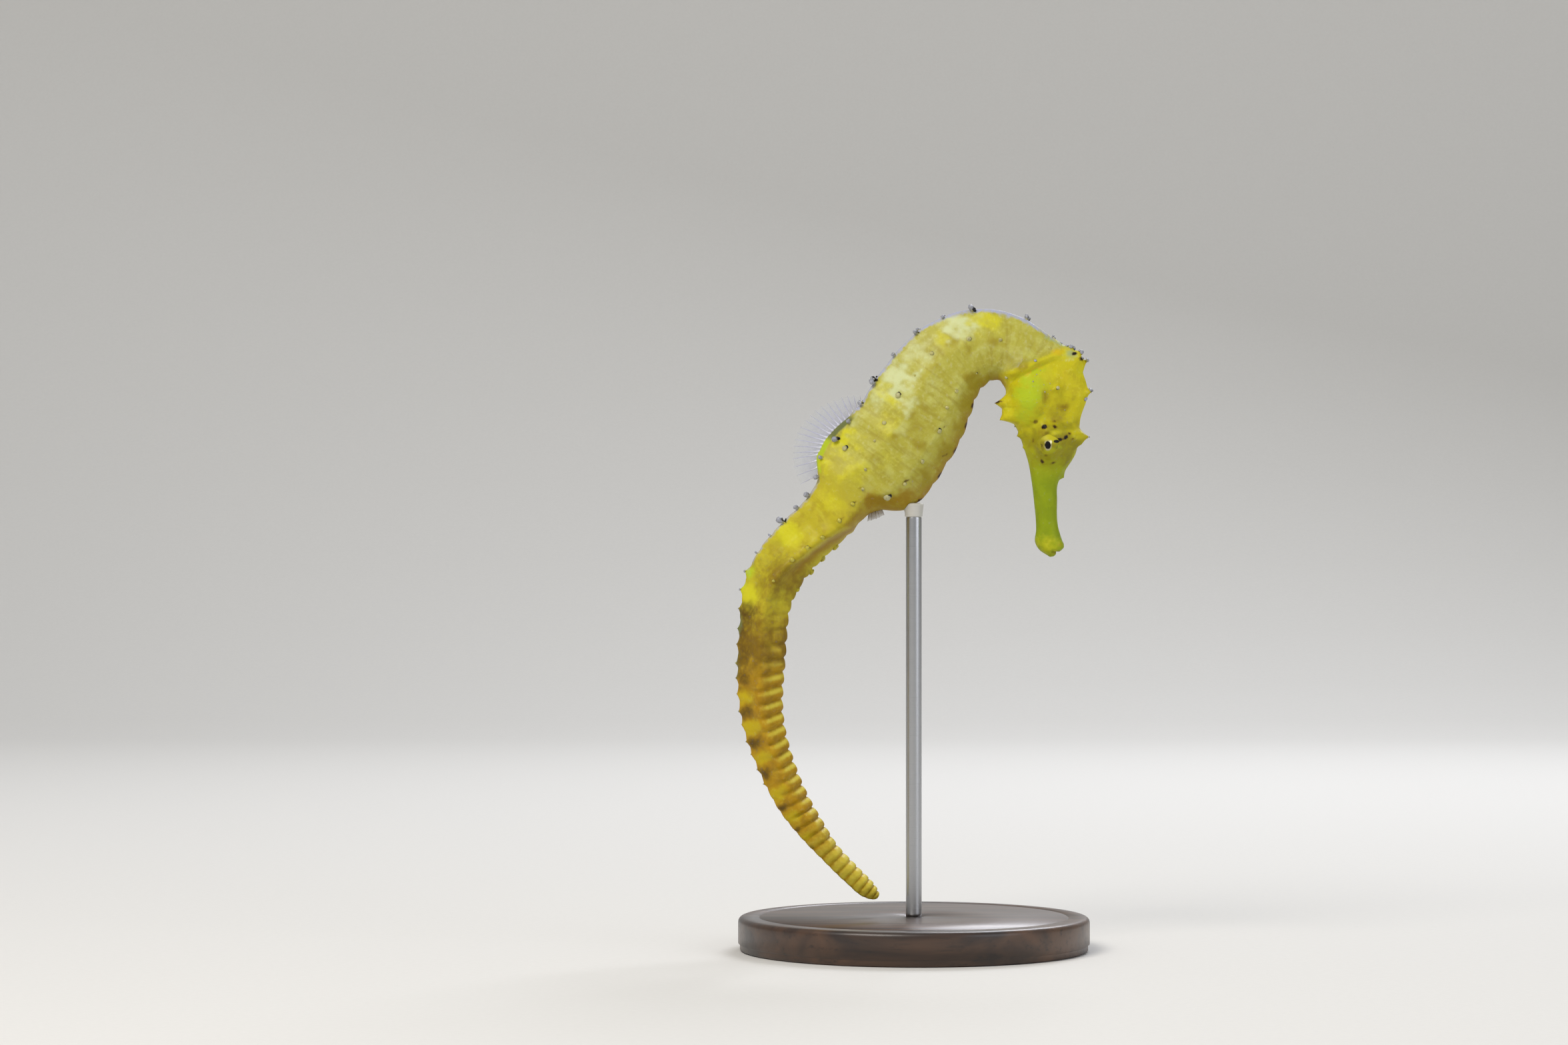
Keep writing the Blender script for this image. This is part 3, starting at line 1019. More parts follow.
# Bare, slightly waxy skin, thinner and paler than the body's, so light shows through its rim.
waxy_knob, tree, place = new_material("waxy_knob_skin")
up_knob, ahead, black, green, white = (
    add_node(tree, "ShaderNodeAttribute", attribute_name=f"knob_{label}").outputs["Fac"]
    for label in ("up", "ahead", "black", "green", "white")
)
speck = add_node(tree, "ShaderNodeTexNoise", {"Vector": place, "Scale": 2200.0, "Detail": 2.0})
specked = add_node(tree, "ShaderNodeMapRange", {
    "Value": speck, "From Min": 0.48, "From Max": 0.72, "To Max": 0.6})
paler_up = add_node(tree, "ShaderNodeMapRange", {
    "Value": up_knob, "From Min": 0.1, "From Max": 0.5}, interpolation_type="SMOOTHSTEP")
lilac = add_node(tree, "ShaderNodeMapRange", {"Value": white, "From Min": 0.9})
leafy = add_node(tree, "ShaderNodeMapRange", {
    "Value": up_knob, "From Min": 0.5, "From Max": 0.8, "To Min": 1.0, "To Max": 0.0})
foot = add_node(tree, "ShaderNodeMapRange", {
    "Value": up_knob, "From Min": 0.8, "From Max": 0.55}, interpolation_type="SMOOTHSTEP")
ahead_side = add_node(tree, "ShaderNodeMapRange", {
    "Value": ahead, "From Min": 0.2, "From Max": 0.5}, interpolation_type="SMOOTHSTEP")
add_node(tree, "ShaderNodeOutputMaterial", {
    "Surface": add_node(tree, "ShaderNodeBsdfPrincipled", {
        "Base Color": painted(
            "#bdb22a", ("#b3b08a", white, paler_up), ("#9b9da8", lilac, paler_up),
            ("#6b6a58", specked), ("#bcc41c", green, leafy), ("#120d0c", foot, ahead_side, black),
        ),
        "Roughness": 0.35, "IOR": 1.38, "Subsurface Weight": 0.3, "Coat Weight": 0.2,
        "Subsurface Radius": (1.0, 0.8, 0.6), "Subsurface Scale": 0.0004,
    }),
})


def new_group(name, sizes):
    """A node group that takes a geometry and named sizes, and its input node."""
    group = bpy.data.node_groups.new(name, "GeometryNodeTree")
    group.interface.new_socket("Geometry", in_out="INPUT", socket_type="NodeSocketGeometry")
    for label in sizes:
        group.interface.new_socket(label, in_out="INPUT", socket_type="NodeSocketFloat")
    group.interface.new_socket("Geometry", in_out="OUTPUT", socket_type="NodeSocketGeometry")
    return group, add_node(group, "NodeGroupInput").outputs


KNOB_ROWS = 12
KNOB_AROUND = 12
# Outlines of a knob's three parts from foot to top: height up it, share of the part's radius.
KNOB_OUTLINES = (
    ("Foot radius", ((0, 1), (0.22, 0.15), (0.4, 0), (1, 0))),
    ("Stalk radius", ((0, 0.6), (0.3, 1), (0.55, 0.6), (0.75, 0), (1, 0))),
    ("Bulb radius", (
        (0, 0), (0.3, 0.1), (0.5, 0.62), (0.7, 1), (0.86, 0.86), (0.96, 0.45), (1, 0.03),
    )),
)
PAD_PLACE = (1.05, 0, -0.1)
PAD_SHAPE = (0.38, 1.0, 0.22)
knob_tree, sizes_in = new_group(
    "knobs_on_skin", ("Height", "Bulb radius", "Stalk radius", "Foot radius", "Lumpiness")
)
axis = add_node(knob_tree, "GeometryNodeCurvePrimitiveLine", {
    "Start": (0, 0, -0.0002),
    "End": add_node(knob_tree, "ShaderNodeCombineXYZ", {"Z": sizes_in["Height"]}),
})
axis = add_node(knob_tree, "GeometryNodeResampleCurve", {"Curve": axis, "Count": KNOB_ROWS})
up_factor = add_node(knob_tree, "GeometryNodeSplineParameter").outputs["Factor"]
radius = 0.0
for part, outline in KNOB_OUTLINES:
    profile = add_node(knob_tree, "ShaderNodeFloatCurve", {"Value": up_factor})
    curve = profile.mapping.curves[0]
    curve.points[0].location = outline[0]
    curve.points[-1].location = outline[-1]
    for height, share in outline[1:-1]:
        curve.points.new(height, share)
    profile.mapping.update()
    radius = add_node(knob_tree, "ShaderNodeMath", {
        0: profile, 1: sizes_in[part], 2: radius,
    }, operation="MULTIPLY_ADD")
circle = add_node(knob_tree, "GeometryNodeCurvePrimitiveCircle", {
    "Resolution": KNOB_AROUND, "Radius": 1.0})
knob = add_node(knob_tree, "GeometryNodeStoreNamedAttribute", {
    "Geometry": axis, "Name": "knob_up", "Value": up_factor,
}, data_type="FLOAT", domain="POINT")
knob = add_node(knob_tree, "GeometryNodeCurveToMesh", {
    "Curve": knob, "Profile Curve": circle, "Scale": radius, "Fill Caps": True})
local_x = add_node(knob_tree, "ShaderNodeSeparateXYZ", {
    0: add_node(knob_tree, "GeometryNodeInputPosition")})
knob = add_node(knob_tree, "GeometryNodeStoreNamedAttribute", {
    "Geometry": knob, "Name": "knob_ahead", "Value": add_node(knob_tree, "ShaderNodeMath", {
        0: local_x, 1: sizes_in["Bulb radius"]}, operation="DIVIDE"),
}, data_type="FLOAT", domain="POINT")
knob = add_node(knob_tree, "GeometryNodeSetShadeSmooth", {"Geometry": knob})
turn_of, size_of, black_of = (
    add_node(knob_tree, "GeometryNodeInputNamedAttribute", {"Name": label}, data_type=kind)
    for label, kind in (
        ("knob_turn", "FLOAT_VECTOR"), ("knob_size", "FLOAT"), ("knob_black", "FLOAT"),
    )
)
turned = add_node(knob_tree, "FunctionNodeEulerToRotation", {0: turn_of})
knobs = add_node(knob_tree, "GeometryNodeInstanceOnPoints", {
    "Points": sizes_in["Geometry"], "Instance": knob, "Rotation": turned, "Scale": size_of})
# A dark pad lies in the skin on the headward side of the knobs that are marked.
pad = add_node(knob_tree, "GeometryNodeMeshUVSphere", {
    "Segments": 12, "Rings": 6, "Radius": sizes_in["Bulb radius"]})
pad = add_node(knob_tree, "GeometryNodeStoreNamedAttribute", {
    "Geometry": pad, "Name": "knob_ahead", "Value": 1.0}, data_type="FLOAT", domain="POINT")
pad = add_node(knob_tree, "GeometryNodeTransform", {
    "Geometry": pad, "Scale": PAD_SHAPE, "Translation": add_node(
        knob_tree, "ShaderNodeVectorMath", {0: PAD_PLACE, "Scale": sizes_in["Bulb radius"]},
        operation="SCALE",
    ),
})
pads = add_node(knob_tree, "GeometryNodeInstanceOnPoints", {
    "Points": sizes_in["Geometry"], "Instance": pad, "Rotation": turned,
    "Selection": add_node(knob_tree, "FunctionNodeCompare", {
        0: black_of, 1: 0.25}, data_type="FLOAT", operation="GREATER_THAN"),
    "Scale": add_node(knob_tree, "ShaderNodeMath", {0: size_of, 1: black_of}, operation="MULTIPLY"),
})
joined = add_node(knob_tree, "GeometryNodeJoinGeometry", {0: knobs})
knob_tree.links.new(pads.outputs[0], joined.inputs[0])
real = add_node(knob_tree, "GeometryNodeRealizeInstances", {"Geometry": joined})
# No two are quite round: each is pushed in and out by a slow noise along its normals.
lump = add_node(knob_tree, "ShaderNodeTexNoise", {"Scale": 1700.0, "Detail": 1.0})
lump = add_node(knob_tree, "ShaderNodeMapRange", {
    "Value": lump, "To Min": -1.0, "To Max": 1.0}, clamp=False)
lump = add_node(knob_tree, "ShaderNodeMath", {
    0: lump, 1: sizes_in["Lumpiness"]}, operation="MULTIPLY")
push = add_node(knob_tree, "ShaderNodeVectorMath", {
    0: add_node(knob_tree, "GeometryNodeInputNormal"), "Scale": lump}, operation="SCALE")
real = add_node(knob_tree, "GeometryNodeSetPosition", {"Geometry": real, "Offset": push})
add_node(knob_tree, "NodeGroupOutput", {
    0: add_node(knob_tree, "GeometryNodeSetMaterial", {"Geometry": real, "Material": waxy_knob})})


def grow(points, group, values):
    """Runs a node group on an object and keeps the result as a plain mesh."""
    modifier = points.modifiers.new("nodes", "NODES")
    modifier.node_group = group
    for item in group.interface.items_tree:
        if item.in_out == "INPUT" and item.name in values:
            modifier[item.identifier] = values[item.name]
    bpy.context.view_layer.update()
    evaluated = points.evaluated_get(bpy.context.evaluated_depsgraph_get())
    mesh = bpy.data.meshes.new_from_object(evaluated)
    points.modifiers.clear()
    points.data = mesh
    return points


KNOB_SIZES = (
    # name, points, height, radius of bulb, stalk and foot, lumpiness
    ("back_pegs", back_rows, 1.0, 0.36, 0.2, 0.24, 0.28),
    ("flank_knobs", flank_rows, 0.32, 0.32, 0.22, 0.24, 0.22),
)
for name, rows_of, height, bulb, stalk, foot, lumpiness in KNOB_SIZES:
    knobs = grow(knob_points(name, rows_of), knob_tree, {
        "Height": height * MM, "Bulb radius": bulb * MM, "Stalk radius": stalk * MM,
        "Foot radius": foot * MM, "Lumpiness": lumpiness * MM,
    })
    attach(knobs, "root")

# ---------------------------------------------------------------- eyes
# A seahorse's eye is a low dome with a clear cornea over a yellow iris and a small black pupil
# with a thin pale rim. It sits in a turret of skin, which covers all but the middle of the ball.

# Wet cornea: a thin clear film that catches a soft glint, over an iris of yellow pigment.
wet_eye, tree, place = new_material("wet_cornea_over_iris")
iris_noise = add_node(tree, "ShaderNodeTexNoise", {"Vector": place, "Scale": 1500.0, "Detail": 3.0})
iris_cloud = add_node(tree, "ShaderNodeTexNoise", {"Vector": place, "Scale": 600.0, "Detail": 3.0})


def iris_mark(centre, radii, low, high, most=1.0, wobble=0.5):
    """A soft-edged ellipse on the iris, in the side view: 'most' inside low, 0 beyond high."""
    scaled = add_node(tree, "ShaderNodeMapping", {
        "Vector": place, "Location": (-centre[0] / radii[0], 0, -centre[1] / radii[1]),
        "Scale": (1 / (radii[0] * MM), 0, 1 / (radii[1] * MM))})
    length = add_node(tree, "ShaderNodeVectorMath", {0: scaled}, operation="LENGTH")
    return add_node(tree, "ShaderNodeMapRange", {
        "Value": shaken(length.outputs["Value"], iris_noise, wobble),
        "From Min": low, "From Max": high, "To Min": most, "To Max": 0.0,
    }, interpolation_type="SMOOTHSTEP")


PUPIL = (23.38, 89.05)
PUPIL_RADII = (0.5, 0.74)
RIM_RADII = (0.7, 0.96)
# The pale rim of the pupil is broken into beads.
rim_beads = add_node(tree, "ShaderNodeMapRange", {
    "Value": iris_noise, "From Min": 0.4, "From Max": 0.6})
colour = painted(
    "#867e0e", ("#9c9414", band(iris_cloud, 0.42, 0.62, 0.9)),
    ("#c4bb20", iris_mark((24.1, 90.4), (1.6, 0.9), 0.5, 1.5, 0.85)),
    ("#a9ab16", iris_mark((24, 87.9), (1.3, 0.7), 0.5, 1.5, 0.8)),
    ("#6f8620", iris_mark((25.2, 88.7), (0.5, 0.5), 0.5, 1.3, 0.4)),
    ("#0c0804", iris_mark((24.9, 89.74), (0.56, 0.27), 0.8, 1.2)),
    ("#5a4c0e", iris_mark((22.3, 89), (0.2, 0.28), 0.7, 1.3, 0.85)),
    ("#b3ac8c", iris_mark(PUPIL, RIM_RADII, 0.9, 1.15, 0.85), rim_beads),
    ("#f0eac0", iris_mark((23.86, 89.62), (0.26, 0.3), 0.6, 1.3, 0.9)),
    ("#040303", iris_mark(PUPIL, PUPIL_RADII, 0.92, 1.1, 1.0, 0.7)),
)
add_node(tree, "ShaderNodeOutputMaterial", {
    "Surface": add_node(tree, "ShaderNodeBsdfPrincipled", {
        "Base Color": colour, "Roughness": 0.5, "IOR": 1.36, "Specular IOR Level": 0.35,
        "Normal": add_node(tree, "ShaderNodeBump", {
            "Strength": 0.35, "Distance": 0.00005, "Height": iris_noise}),
        "Coat Weight": 0.06, "Coat Roughness": 0.12, "Coat IOR": 1.34,
    }),
})

EYE_ROWS = 28
EYE_AROUND = 64
for node, facing in (("eye_right", -1), ("eye_left", 1)):
    low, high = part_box(node)
    middle = np.array((low + high) / 2) / MM
    ring_tilt = math.pi * np.arange(1, EYE_ROWS)[:, None] / EYE_ROWS
    round_by = 2 * math.pi * np.arange(EYE_AROUND) / EYE_AROUND
    ball = middle + np.stack([
        eye_radius * np.sin(ring_tilt) * np.cos(round_by),
        facing * eye_depth * np.cos(ring_tilt) + 0 * round_by,
        eye_radius * np.sin(ring_tilt) * np.sin(round_by),
    ], 2)
    ends = [middle + (0, way * eye_depth, 0) for way in (facing, -facing)]
    eyeball = ringed_piece(f"{node}_ball", ball, ends, wet_eye, clockwise=facing < 0)
    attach(eyeball, "root")
    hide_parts(node)

# A soft, uneven lip of the body's skin closes the turret round the ball, with the colours of the
# skin beside it.
LIP_RADIUS = 1.86
LIP_THICK = 0.12
LIP_AROUND = 96
LIP_TUBE = 12
lip_turn = np.arange(LIP_AROUND)[:, None] * 2 * math.pi / LIP_AROUND
tube_turn = np.arange(LIP_TUBE)[None, :] * 2 * math.pi / LIP_TUBE
lip_out = LIP_RADIUS + 0.06 * np.sin(3 * lip_turn + 1) + 0.04 * np.sin(5 * lip_turn)
lip_thick = LIP_THICK * (1 + 0.2 * np.sin(4 * lip_turn + 2) + 0.08 * np.sin(9 * lip_turn))
lip_from = lip_out + 1.5 * lip_thick * np.cos(tube_turn)
lip_x = eye_centre[0] + lip_from * np.cos(lip_turn)
lip_z = eye_centre[2] + lip_from * np.sin(lip_turn)
lip_front = -eye_centre[1] + eye_depth * np.sqrt(np.clip(1 - (lip_out / eye_radius) ** 2, 0, 1))
for name, facing in (("eye_right_lip", -1), ("eye_left_lip", 1)):
    lip_y = facing * (lip_front - 0.03 - 0.9 * (lip_from - lip_out) + lip_thick * np.sin(tube_turn))
    lip = np.stack([lip_x, lip_y, lip_z], 2).reshape(-1, 3)
    lip_faces = []
    for i in range(LIP_AROUND):
        for j in range(LIP_TUBE):
            a, b = i * LIP_TUBE + j, i * LIP_TUBE + (j + 1) % LIP_TUBE
            c, d = (a + LIP_TUBE) % len(lip), (b + LIP_TUBE) % len(lip)
            lip_faces.append((a, c, d, b) if facing < 0 else (a, b, d, c))
    lip_piece = mesh_object(name, lip * MM, lip_faces, satin_skin)
    near = np.flatnonzero((np.linalg.norm(skin - lip.mean(0), axis=2) < 4).reshape(-1))
    gaps = np.linalg.norm(skin.reshape(-1, 3)[near][None] - lip[:, None], axis=2)
    nearest = near[np.argmin(gaps, axis=1)]
    for tone, values in tones.items():
        stored(lip_piece.data, tone, values.reshape(-1)[nearest])
    stored(lip_piece.data, "drum", drum.reshape(-1, 3)[nearest])
    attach(lip_piece, "root")

# ---------------------------------------------------------------- fins
# Each fin is a clear membrane, thinner than paper, held open by fine bony rays that fan out from
# the body. The rays are milky at the root and fade into the membrane towards its edge.

# Clear membrane: nearly invisible face on, with a bluish mist near its root.
clear_membrane, tree, place = new_material("clear_fin_membrane")
out_on_fin, brown, milk = (
    add_node(tree, "ShaderNodeAttribute", attribute_name=f"fin_{label}").outputs["Fac"]
    for label in ("out", "brown", "milk")
)
mist = add_node(tree, "ShaderNodeTexNoise", {"Vector": place, "Scale": 900.0, "Detail": 3.0})
thin = add_node(tree, "ShaderNodeMapRange", {"Value": out_on_fin, "To Min": 0.24, "To Max": 0.05})
for share in (milk, add_node(tree, "ShaderNodeMapRange", {
    "Value": mist, "From Min": 0.3, "From Max": 0.7, "To Min": 0.7, "To Max": 1.2,
})):
    thin = add_node(tree, "ShaderNodeMath", {0: thin, 1: share}, operation="MULTIPLY")
add_node(tree, "ShaderNodeOutputMaterial", {
    "Surface": add_node(tree, "ShaderNodeBsdfPrincipled", {
        "Base Color": painted("#9fa0cc", ("#b9c0c8", out_on_fin), ("#7a6320", brown)),
        "Roughness": 0.3, "Alpha": thin, "IOR": 1.36,
    }),
})

# Milky ray: smooth bone under wet skin, white where it is thick and clearer as it thins.
milky_ray, tree, place = new_material("milky_fin_ray")
out_on_fin, brown, milk = (
    add_node(tree, "ShaderNodeAttribute", attribute_name=f"fin_{label}").outputs["Fac"]
    for label in ("out", "brown", "milk")
)
fibre = add_node(tree, "ShaderNodeTexNoise", {"Vector": place, "Scale": 2500.0, "Detail": 2.0})
fade = add_node(tree, "ShaderNodeMapRange", {
    "Value": out_on_fin, "From Min": 0.25, "To Min": 1.0, "To Max": 0.2})
add_node(tree, "ShaderNodeOutputMaterial", {
    "Surface": add_node(tree, "ShaderNodeBsdfPrincipled", {
        "Base Color": painted(
            "#f4f4f8", ("#cfcdea", fibre), ("#aeb0d4", out_on_fin), ("#6b5518", brown),
        ),
        "Roughness": 0.35, "IOR": 1.4,
        "Alpha": add_node(tree, "ShaderNodeMath", {0: fade, 1: milk}, operation="MULTIPLY"),
    }),
})

ray_tree, sizes_in = new_group("rays_on_lines", ("Root radius", "Tip radius"))
lines = add_node(ray_tree, "GeometryNodeMeshToCurve", {0: sizes_in["Geometry"]})
out_of = add_node(ray_tree, "GeometryNodeInputNamedAttribute", {
    "Name": "fin_out"}, data_type="FLOAT")
thickness = add_node(ray_tree, "ShaderNodeMapRange", {
    "Value": out_of, "To Min": sizes_in["Root radius"], "To Max": sizes_in["Tip radius"]})
# Each ray swells to a small white bead where it leaves the back.
root_bead = add_node(ray_tree, "ShaderNodeMapRange", {
    "Value": out_of, "From Min": 0.06, "From Max": 0.17, "To Min": 1.0, "To Max": 0.0,
}, interpolation_type="SMOOTHSTEP")
thickness = add_node(ray_tree, "ShaderNodeMath", {
    0: root_bead, 1: sizes_in["Root radius"], 2: thickness}, operation="MULTIPLY_ADD")
circle = add_node(ray_tree, "GeometryNodeCurvePrimitiveCircle", {"Resolution": 6, "Radius": 1.0})
tubes = add_node(ray_tree, "GeometryNodeCurveToMesh", {
    "Curve": lines, "Profile Curve": circle, "Scale": thickness, "Fill Caps": True})
tubes = add_node(ray_tree, "GeometryNodeSetShadeSmooth", {"Geometry": tubes})
real = add_node(ray_tree, "GeometryNodeRealizeInstances", {"Geometry": tubes})
add_node(ray_tree, "NodeGroupOutput", {
    0: add_node(ray_tree, "GeometryNodeSetMaterial", {"Geometry": real, "Material": milky_ray})})

RAY_STEPS = 14
BETWEEN_RAYS = 4
MEMBRANE_HALF = 0.035


def make_fin(name, node, roots, tips, bulge, ray_radius, milk=1.0, brown=0.0):
    """A fan of rays from roots to tips (arrays of points in mm) with a membrane between them."""
    rays = len(roots)
    columns = (rays - 1) * BETWEEN_RAYS + 1
    at = np.arange(columns) / BETWEEN_RAYS
    low = np.minimum(at.astype(int), rays - 2)
    part = (at - low)[:, None]
    root_line = roots[low] * (1 - part) + roots[low + 1] * part
    tip_line = tips[low] * (1 - part) + tips[low + 1] * part
    sag = np.sin(np.pi * part)
    tip_line = tip_line + (root_line - tip_line) * 0.05 * sag
    out = np.linspace(0, 1, RAY_STEPS + 1)[:, None, None]
    plane_normal = np.cross(tips[0] - roots[0], tips[-1] - roots[0])
    plane_normal /= np.linalg.norm(plane_normal)
    sheet = root_line * (1 - out) + tip_line * out
    sheet = sheet + plane_normal * (bulge * np.sin(np.pi * out) * 0.6 + 0.1 * sag * out)
    half = MEMBRANE_HALF * plane_normal
    points = (np.concatenate([sheet + half, sheet - half]) * MM).reshape(-1, 3)
    # The two faces of the membrane, then its edge.
    index = np.arange(len(points)).reshape(2, RAY_STEPS + 1, columns)
    sheet_faces = []
    for i in range(RAY_STEPS):
        for j in range(columns - 1):
            a, c = index[:, i, j]
            sheet_faces.append((a, a + columns, a + columns + 1, a + 1))
            sheet_faces.append((c, c + 1, c + columns + 1, c + columns))
    border = [index[:, 0, :-1], index[:, :-1, -1], index[:, -1, :0:-1], index[:, :0:-1, 0]]
    loop = np.concatenate(border, 1).T
    for (a, a_under), (b, b_under) in zip(loop, np.roll(loop, -1, 0)):
        sheet_faces.append((b, b_under, a_under, a))
    sheet_faces = [tuple(int(corner) for corner in face) for face in sheet_faces]
    membrane = mesh_object(name, points, sheet_faces, clear_membrane)
    ray_points = sheet[:, ::BETWEEN_RAYS].transpose(1, 0, 2).reshape(-1, 3) * MM
    ray_edges = [(i - 1, i) for i in range(1, len(ray_points)) if i % (RAY_STEPS + 1)]
    mesh = bpy.data.meshes.new(f"{name}_rays")
    mesh.from_pydata([tuple(point) for point in ray_points], ray_edges, [])
    ray_out = np.linspace(0, 1, RAY_STEPS + 1)
    for target, fin_out in (
        (membrane.data, np.tile(np.repeat(ray_out, columns), 2)), (mesh, np.tile(ray_out, rays)),
    ):
        stored(target, "fin_out", fin_out)
        stored(target, "fin_milk", np.full(len(fin_out), milk))
        stored(target, "fin_brown", np.full(len(fin_out), brown))
    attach(membrane, "root")
    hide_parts(node)
    ray_lines = new_object(f"{name}_rays", mesh)
    grow(ray_lines, ray_tree, {"Root radius": ray_radius * MM, "Tip radius": 0.3 * ray_radius * MM})
    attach(ray_lines, "root")


def middle_fin(first, last, rays, headings, lengths, arch, back):
    """Roots and tips of an upright fin in the middle plane, between two stations."""
    roots, tips = [], []
    for ray in range(rays):
        t = ray / (rays - 1)
        at = first + (last - first) * t
        row, column = spot_on_body(at, 0 if back else 1)
        root = skin[row, column] - normal_grid[row, column] * 0.25
        root[1] = 0
        angle = math.radians(headings[0] + (headings[1] - headings[0]) * t)
        length = lengths[0] + (lengths[1] - lengths[0]) * t + arch * math.sin(math.pi * t) + 0.3
        roots.append(root)
        tips.append(root + length * np.array((math.cos(angle), 0, math.sin(angle))))
    return np.array(roots), np.array(tips)


back_fan = middle_fin(97, 82, 19, (96, 208), (2.3, 3.6), 2.1, True)
make_fin("back_fin", "dorsal_fin", *back_fan, bulge=0.25, ray_radius=0.12)
vent_fan = middle_fin(85.4, 83.6, 5, (-68, -98), (1, 1.3), 0.2, False)
make_fin("vent_fin", "anal_fin", *vent_fan, bulge=0.05, ray_radius=0.05, milk=3.5, brown=1.0)

PECTORAL_STATION = 126.9
PECTORAL_DROP = 1.9
PECTORAL_RADIUS = 4.3
PECTORAL_SPREAD = 100
PECTORAL_LEAN = math.radians(24)
PECTORAL_RAYS = 15
at_heading, line_at_x, line_at_z = (
    float(np.interp(PECTORAL_STATION, line_station, line))
    for line in (line_heading, line_x, line_z)
)
line_point = np.array((line_at_x, 0, line_at_z))
forward = np.array((math.cos(at_heading), 0, math.sin(at_heading)))
backwards = np.array((-math.sin(at_heading), 0, math.cos(at_heading)))
widest = float(np.interp(PECTORAL_STATION, stations, np.abs(skin[..., 1]).max(1)))
for name, node, flank_side in (
    ("right_arm_fin", "pectoral_fin_right", -1), ("left_arm_fin", "pectoral_fin_left", 1)
):
    sideways = np.array((0, flank_side, 0))
    along = -forward * math.cos(PECTORAL_LEAN) + sideways * math.sin(PECTORAL_LEAN)
    root_middle = line_point - backwards * PECTORAL_DROP
    root_middle[1] = flank_side * (widest + 0.1)
    angles = np.linspace(-PECTORAL_SPREAD / 2, PECTORAL_SPREAD / 2, PECTORAL_RAYS)
    angles = np.radians(angles)[:, None]
    fan = np.cos(angles) * along + np.sin(angles) * backwards
    root_fan = root_middle + 0.35 * along + np.sin(angles) * backwards * 0.9
    if flank_side < 0:
        root_fan, fan = root_fan[::-1], fan[::-1]
    make_fin(name, node, root_fan, root_middle + PECTORAL_RADIUS * fan, 0.2, 0.03, 0.07)

# ---------------------------------------------------------------- stand
# The model is held up by a brushed steel rod under its belly, set in a turned disc of beech that
# is stained dark and given a satin lacquer. A thin groove is turned round the edge.

# The stain settles in the pores, and long grain runs across the disc.
satin_wood, tree, place = new_material("dark_stained_beech_satin_lacquer")
pores = add_node(tree, "ShaderNodeTexNoise", {
    "Vector": add_node(tree, "ShaderNodeMapping", {"Vector": place, "Scale": (60, 900, 900)}),
    "Scale": 1.0, "Detail": 6.0, "Roughness": 0.65})
rings_of_growth = add_node(tree, "ShaderNodeTexNoise", {
    "Vector": add_node(tree, "ShaderNodeMapping", {"Vector": place, "Scale": (14, 190, 190)}),
    "Scale": 1.0, "Detail": 3.0, "Distortion": 0.4})
add_node(tree, "ShaderNodeOutputMaterial", {
    "Surface": add_node(tree, "ShaderNodeBsdfPrincipled", {
        "Base Color": painted(
            "#251710",
            ("#553a26", add_node(tree, "ShaderNodeMapRange", {
                "Value": rings_of_growth, "From Min": 0.35, "From Max": 0.65})),
            ("#150e0a", add_node(tree, "ShaderNodeMapRange", {
                "Value": pores, "From Min": 0.56, "From Max": 0.72, "To Max": 0.8})),
        ),
        "Normal": add_node(tree, "ShaderNodeBump", {
            "Strength": 0.2, "Distance": 0.0001, "Height": pores}),
        "Roughness": add_node(tree, "ShaderNodeMapRange", {
            "Value": pores, "To Min": 0.36, "To Max": 0.5}),
        "IOR": 1.5, "Coat Weight": 0.4, "Coat Roughness": 0.25,
    }),
})

# Fine lines from brushing run round the rod.
brushed_steel, tree, place = new_material("brushed_stainless_steel")
brushing = add_node(tree, "ShaderNodeTexNoise", {
    "Vector": add_node(tree, "ShaderNodeMapping", {"Vector": place, "Scale": (200, 200, 26000)}),
    "Scale": 1.0, "Detail": 3.0})
add_node(tree, "ShaderNodeOutputMaterial", {
    "Surface": add_node(tree, "ShaderNodeBsdfPrincipled", {
        "Base Color": painted("#b4b5b7", ("#bebfc1", brushing)), "Metallic": 1.0,
        "Roughness": add_node(tree, "ShaderNodeMapRange", {
            "Value": brushing, "From Min": 0.3, "From Max": 0.7, "To Min": 0.27, "To Max": 0.36}),
        "Normal": add_node(tree, "ShaderNodeBump", {
            "Strength": 0.06, "Distance": 0.00002, "Height": brushing}),
    }),
})


def turned_piece(name, profile, middle, around, material):
    """A lathe-turned solid: profile is (radius, height) in mm from bottom centre to top centre."""
    round_by = 2 * math.pi * np.arange(around) / around
    rings = [
        np.stack([
            middle[0] + out * np.cos(round_by), middle[1] + out * np.sin(round_by),
            np.full(around, height),
        ], 1)
        for out, height in profile[1:-1]
    ]
    ends = [(*middle, profile[0][1]), (*middle, profile[-1][1])]
    return ringed_piece(name, rings, ends, material)


def round_node(node):
    """Radius, middle and top of an upright round CAD node, in mm."""
    low, high = (np.array(corner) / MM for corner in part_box(node))
    return (high[0] - low[0]) / 2, (low[:2] + high[:2]) / 2, high[2]


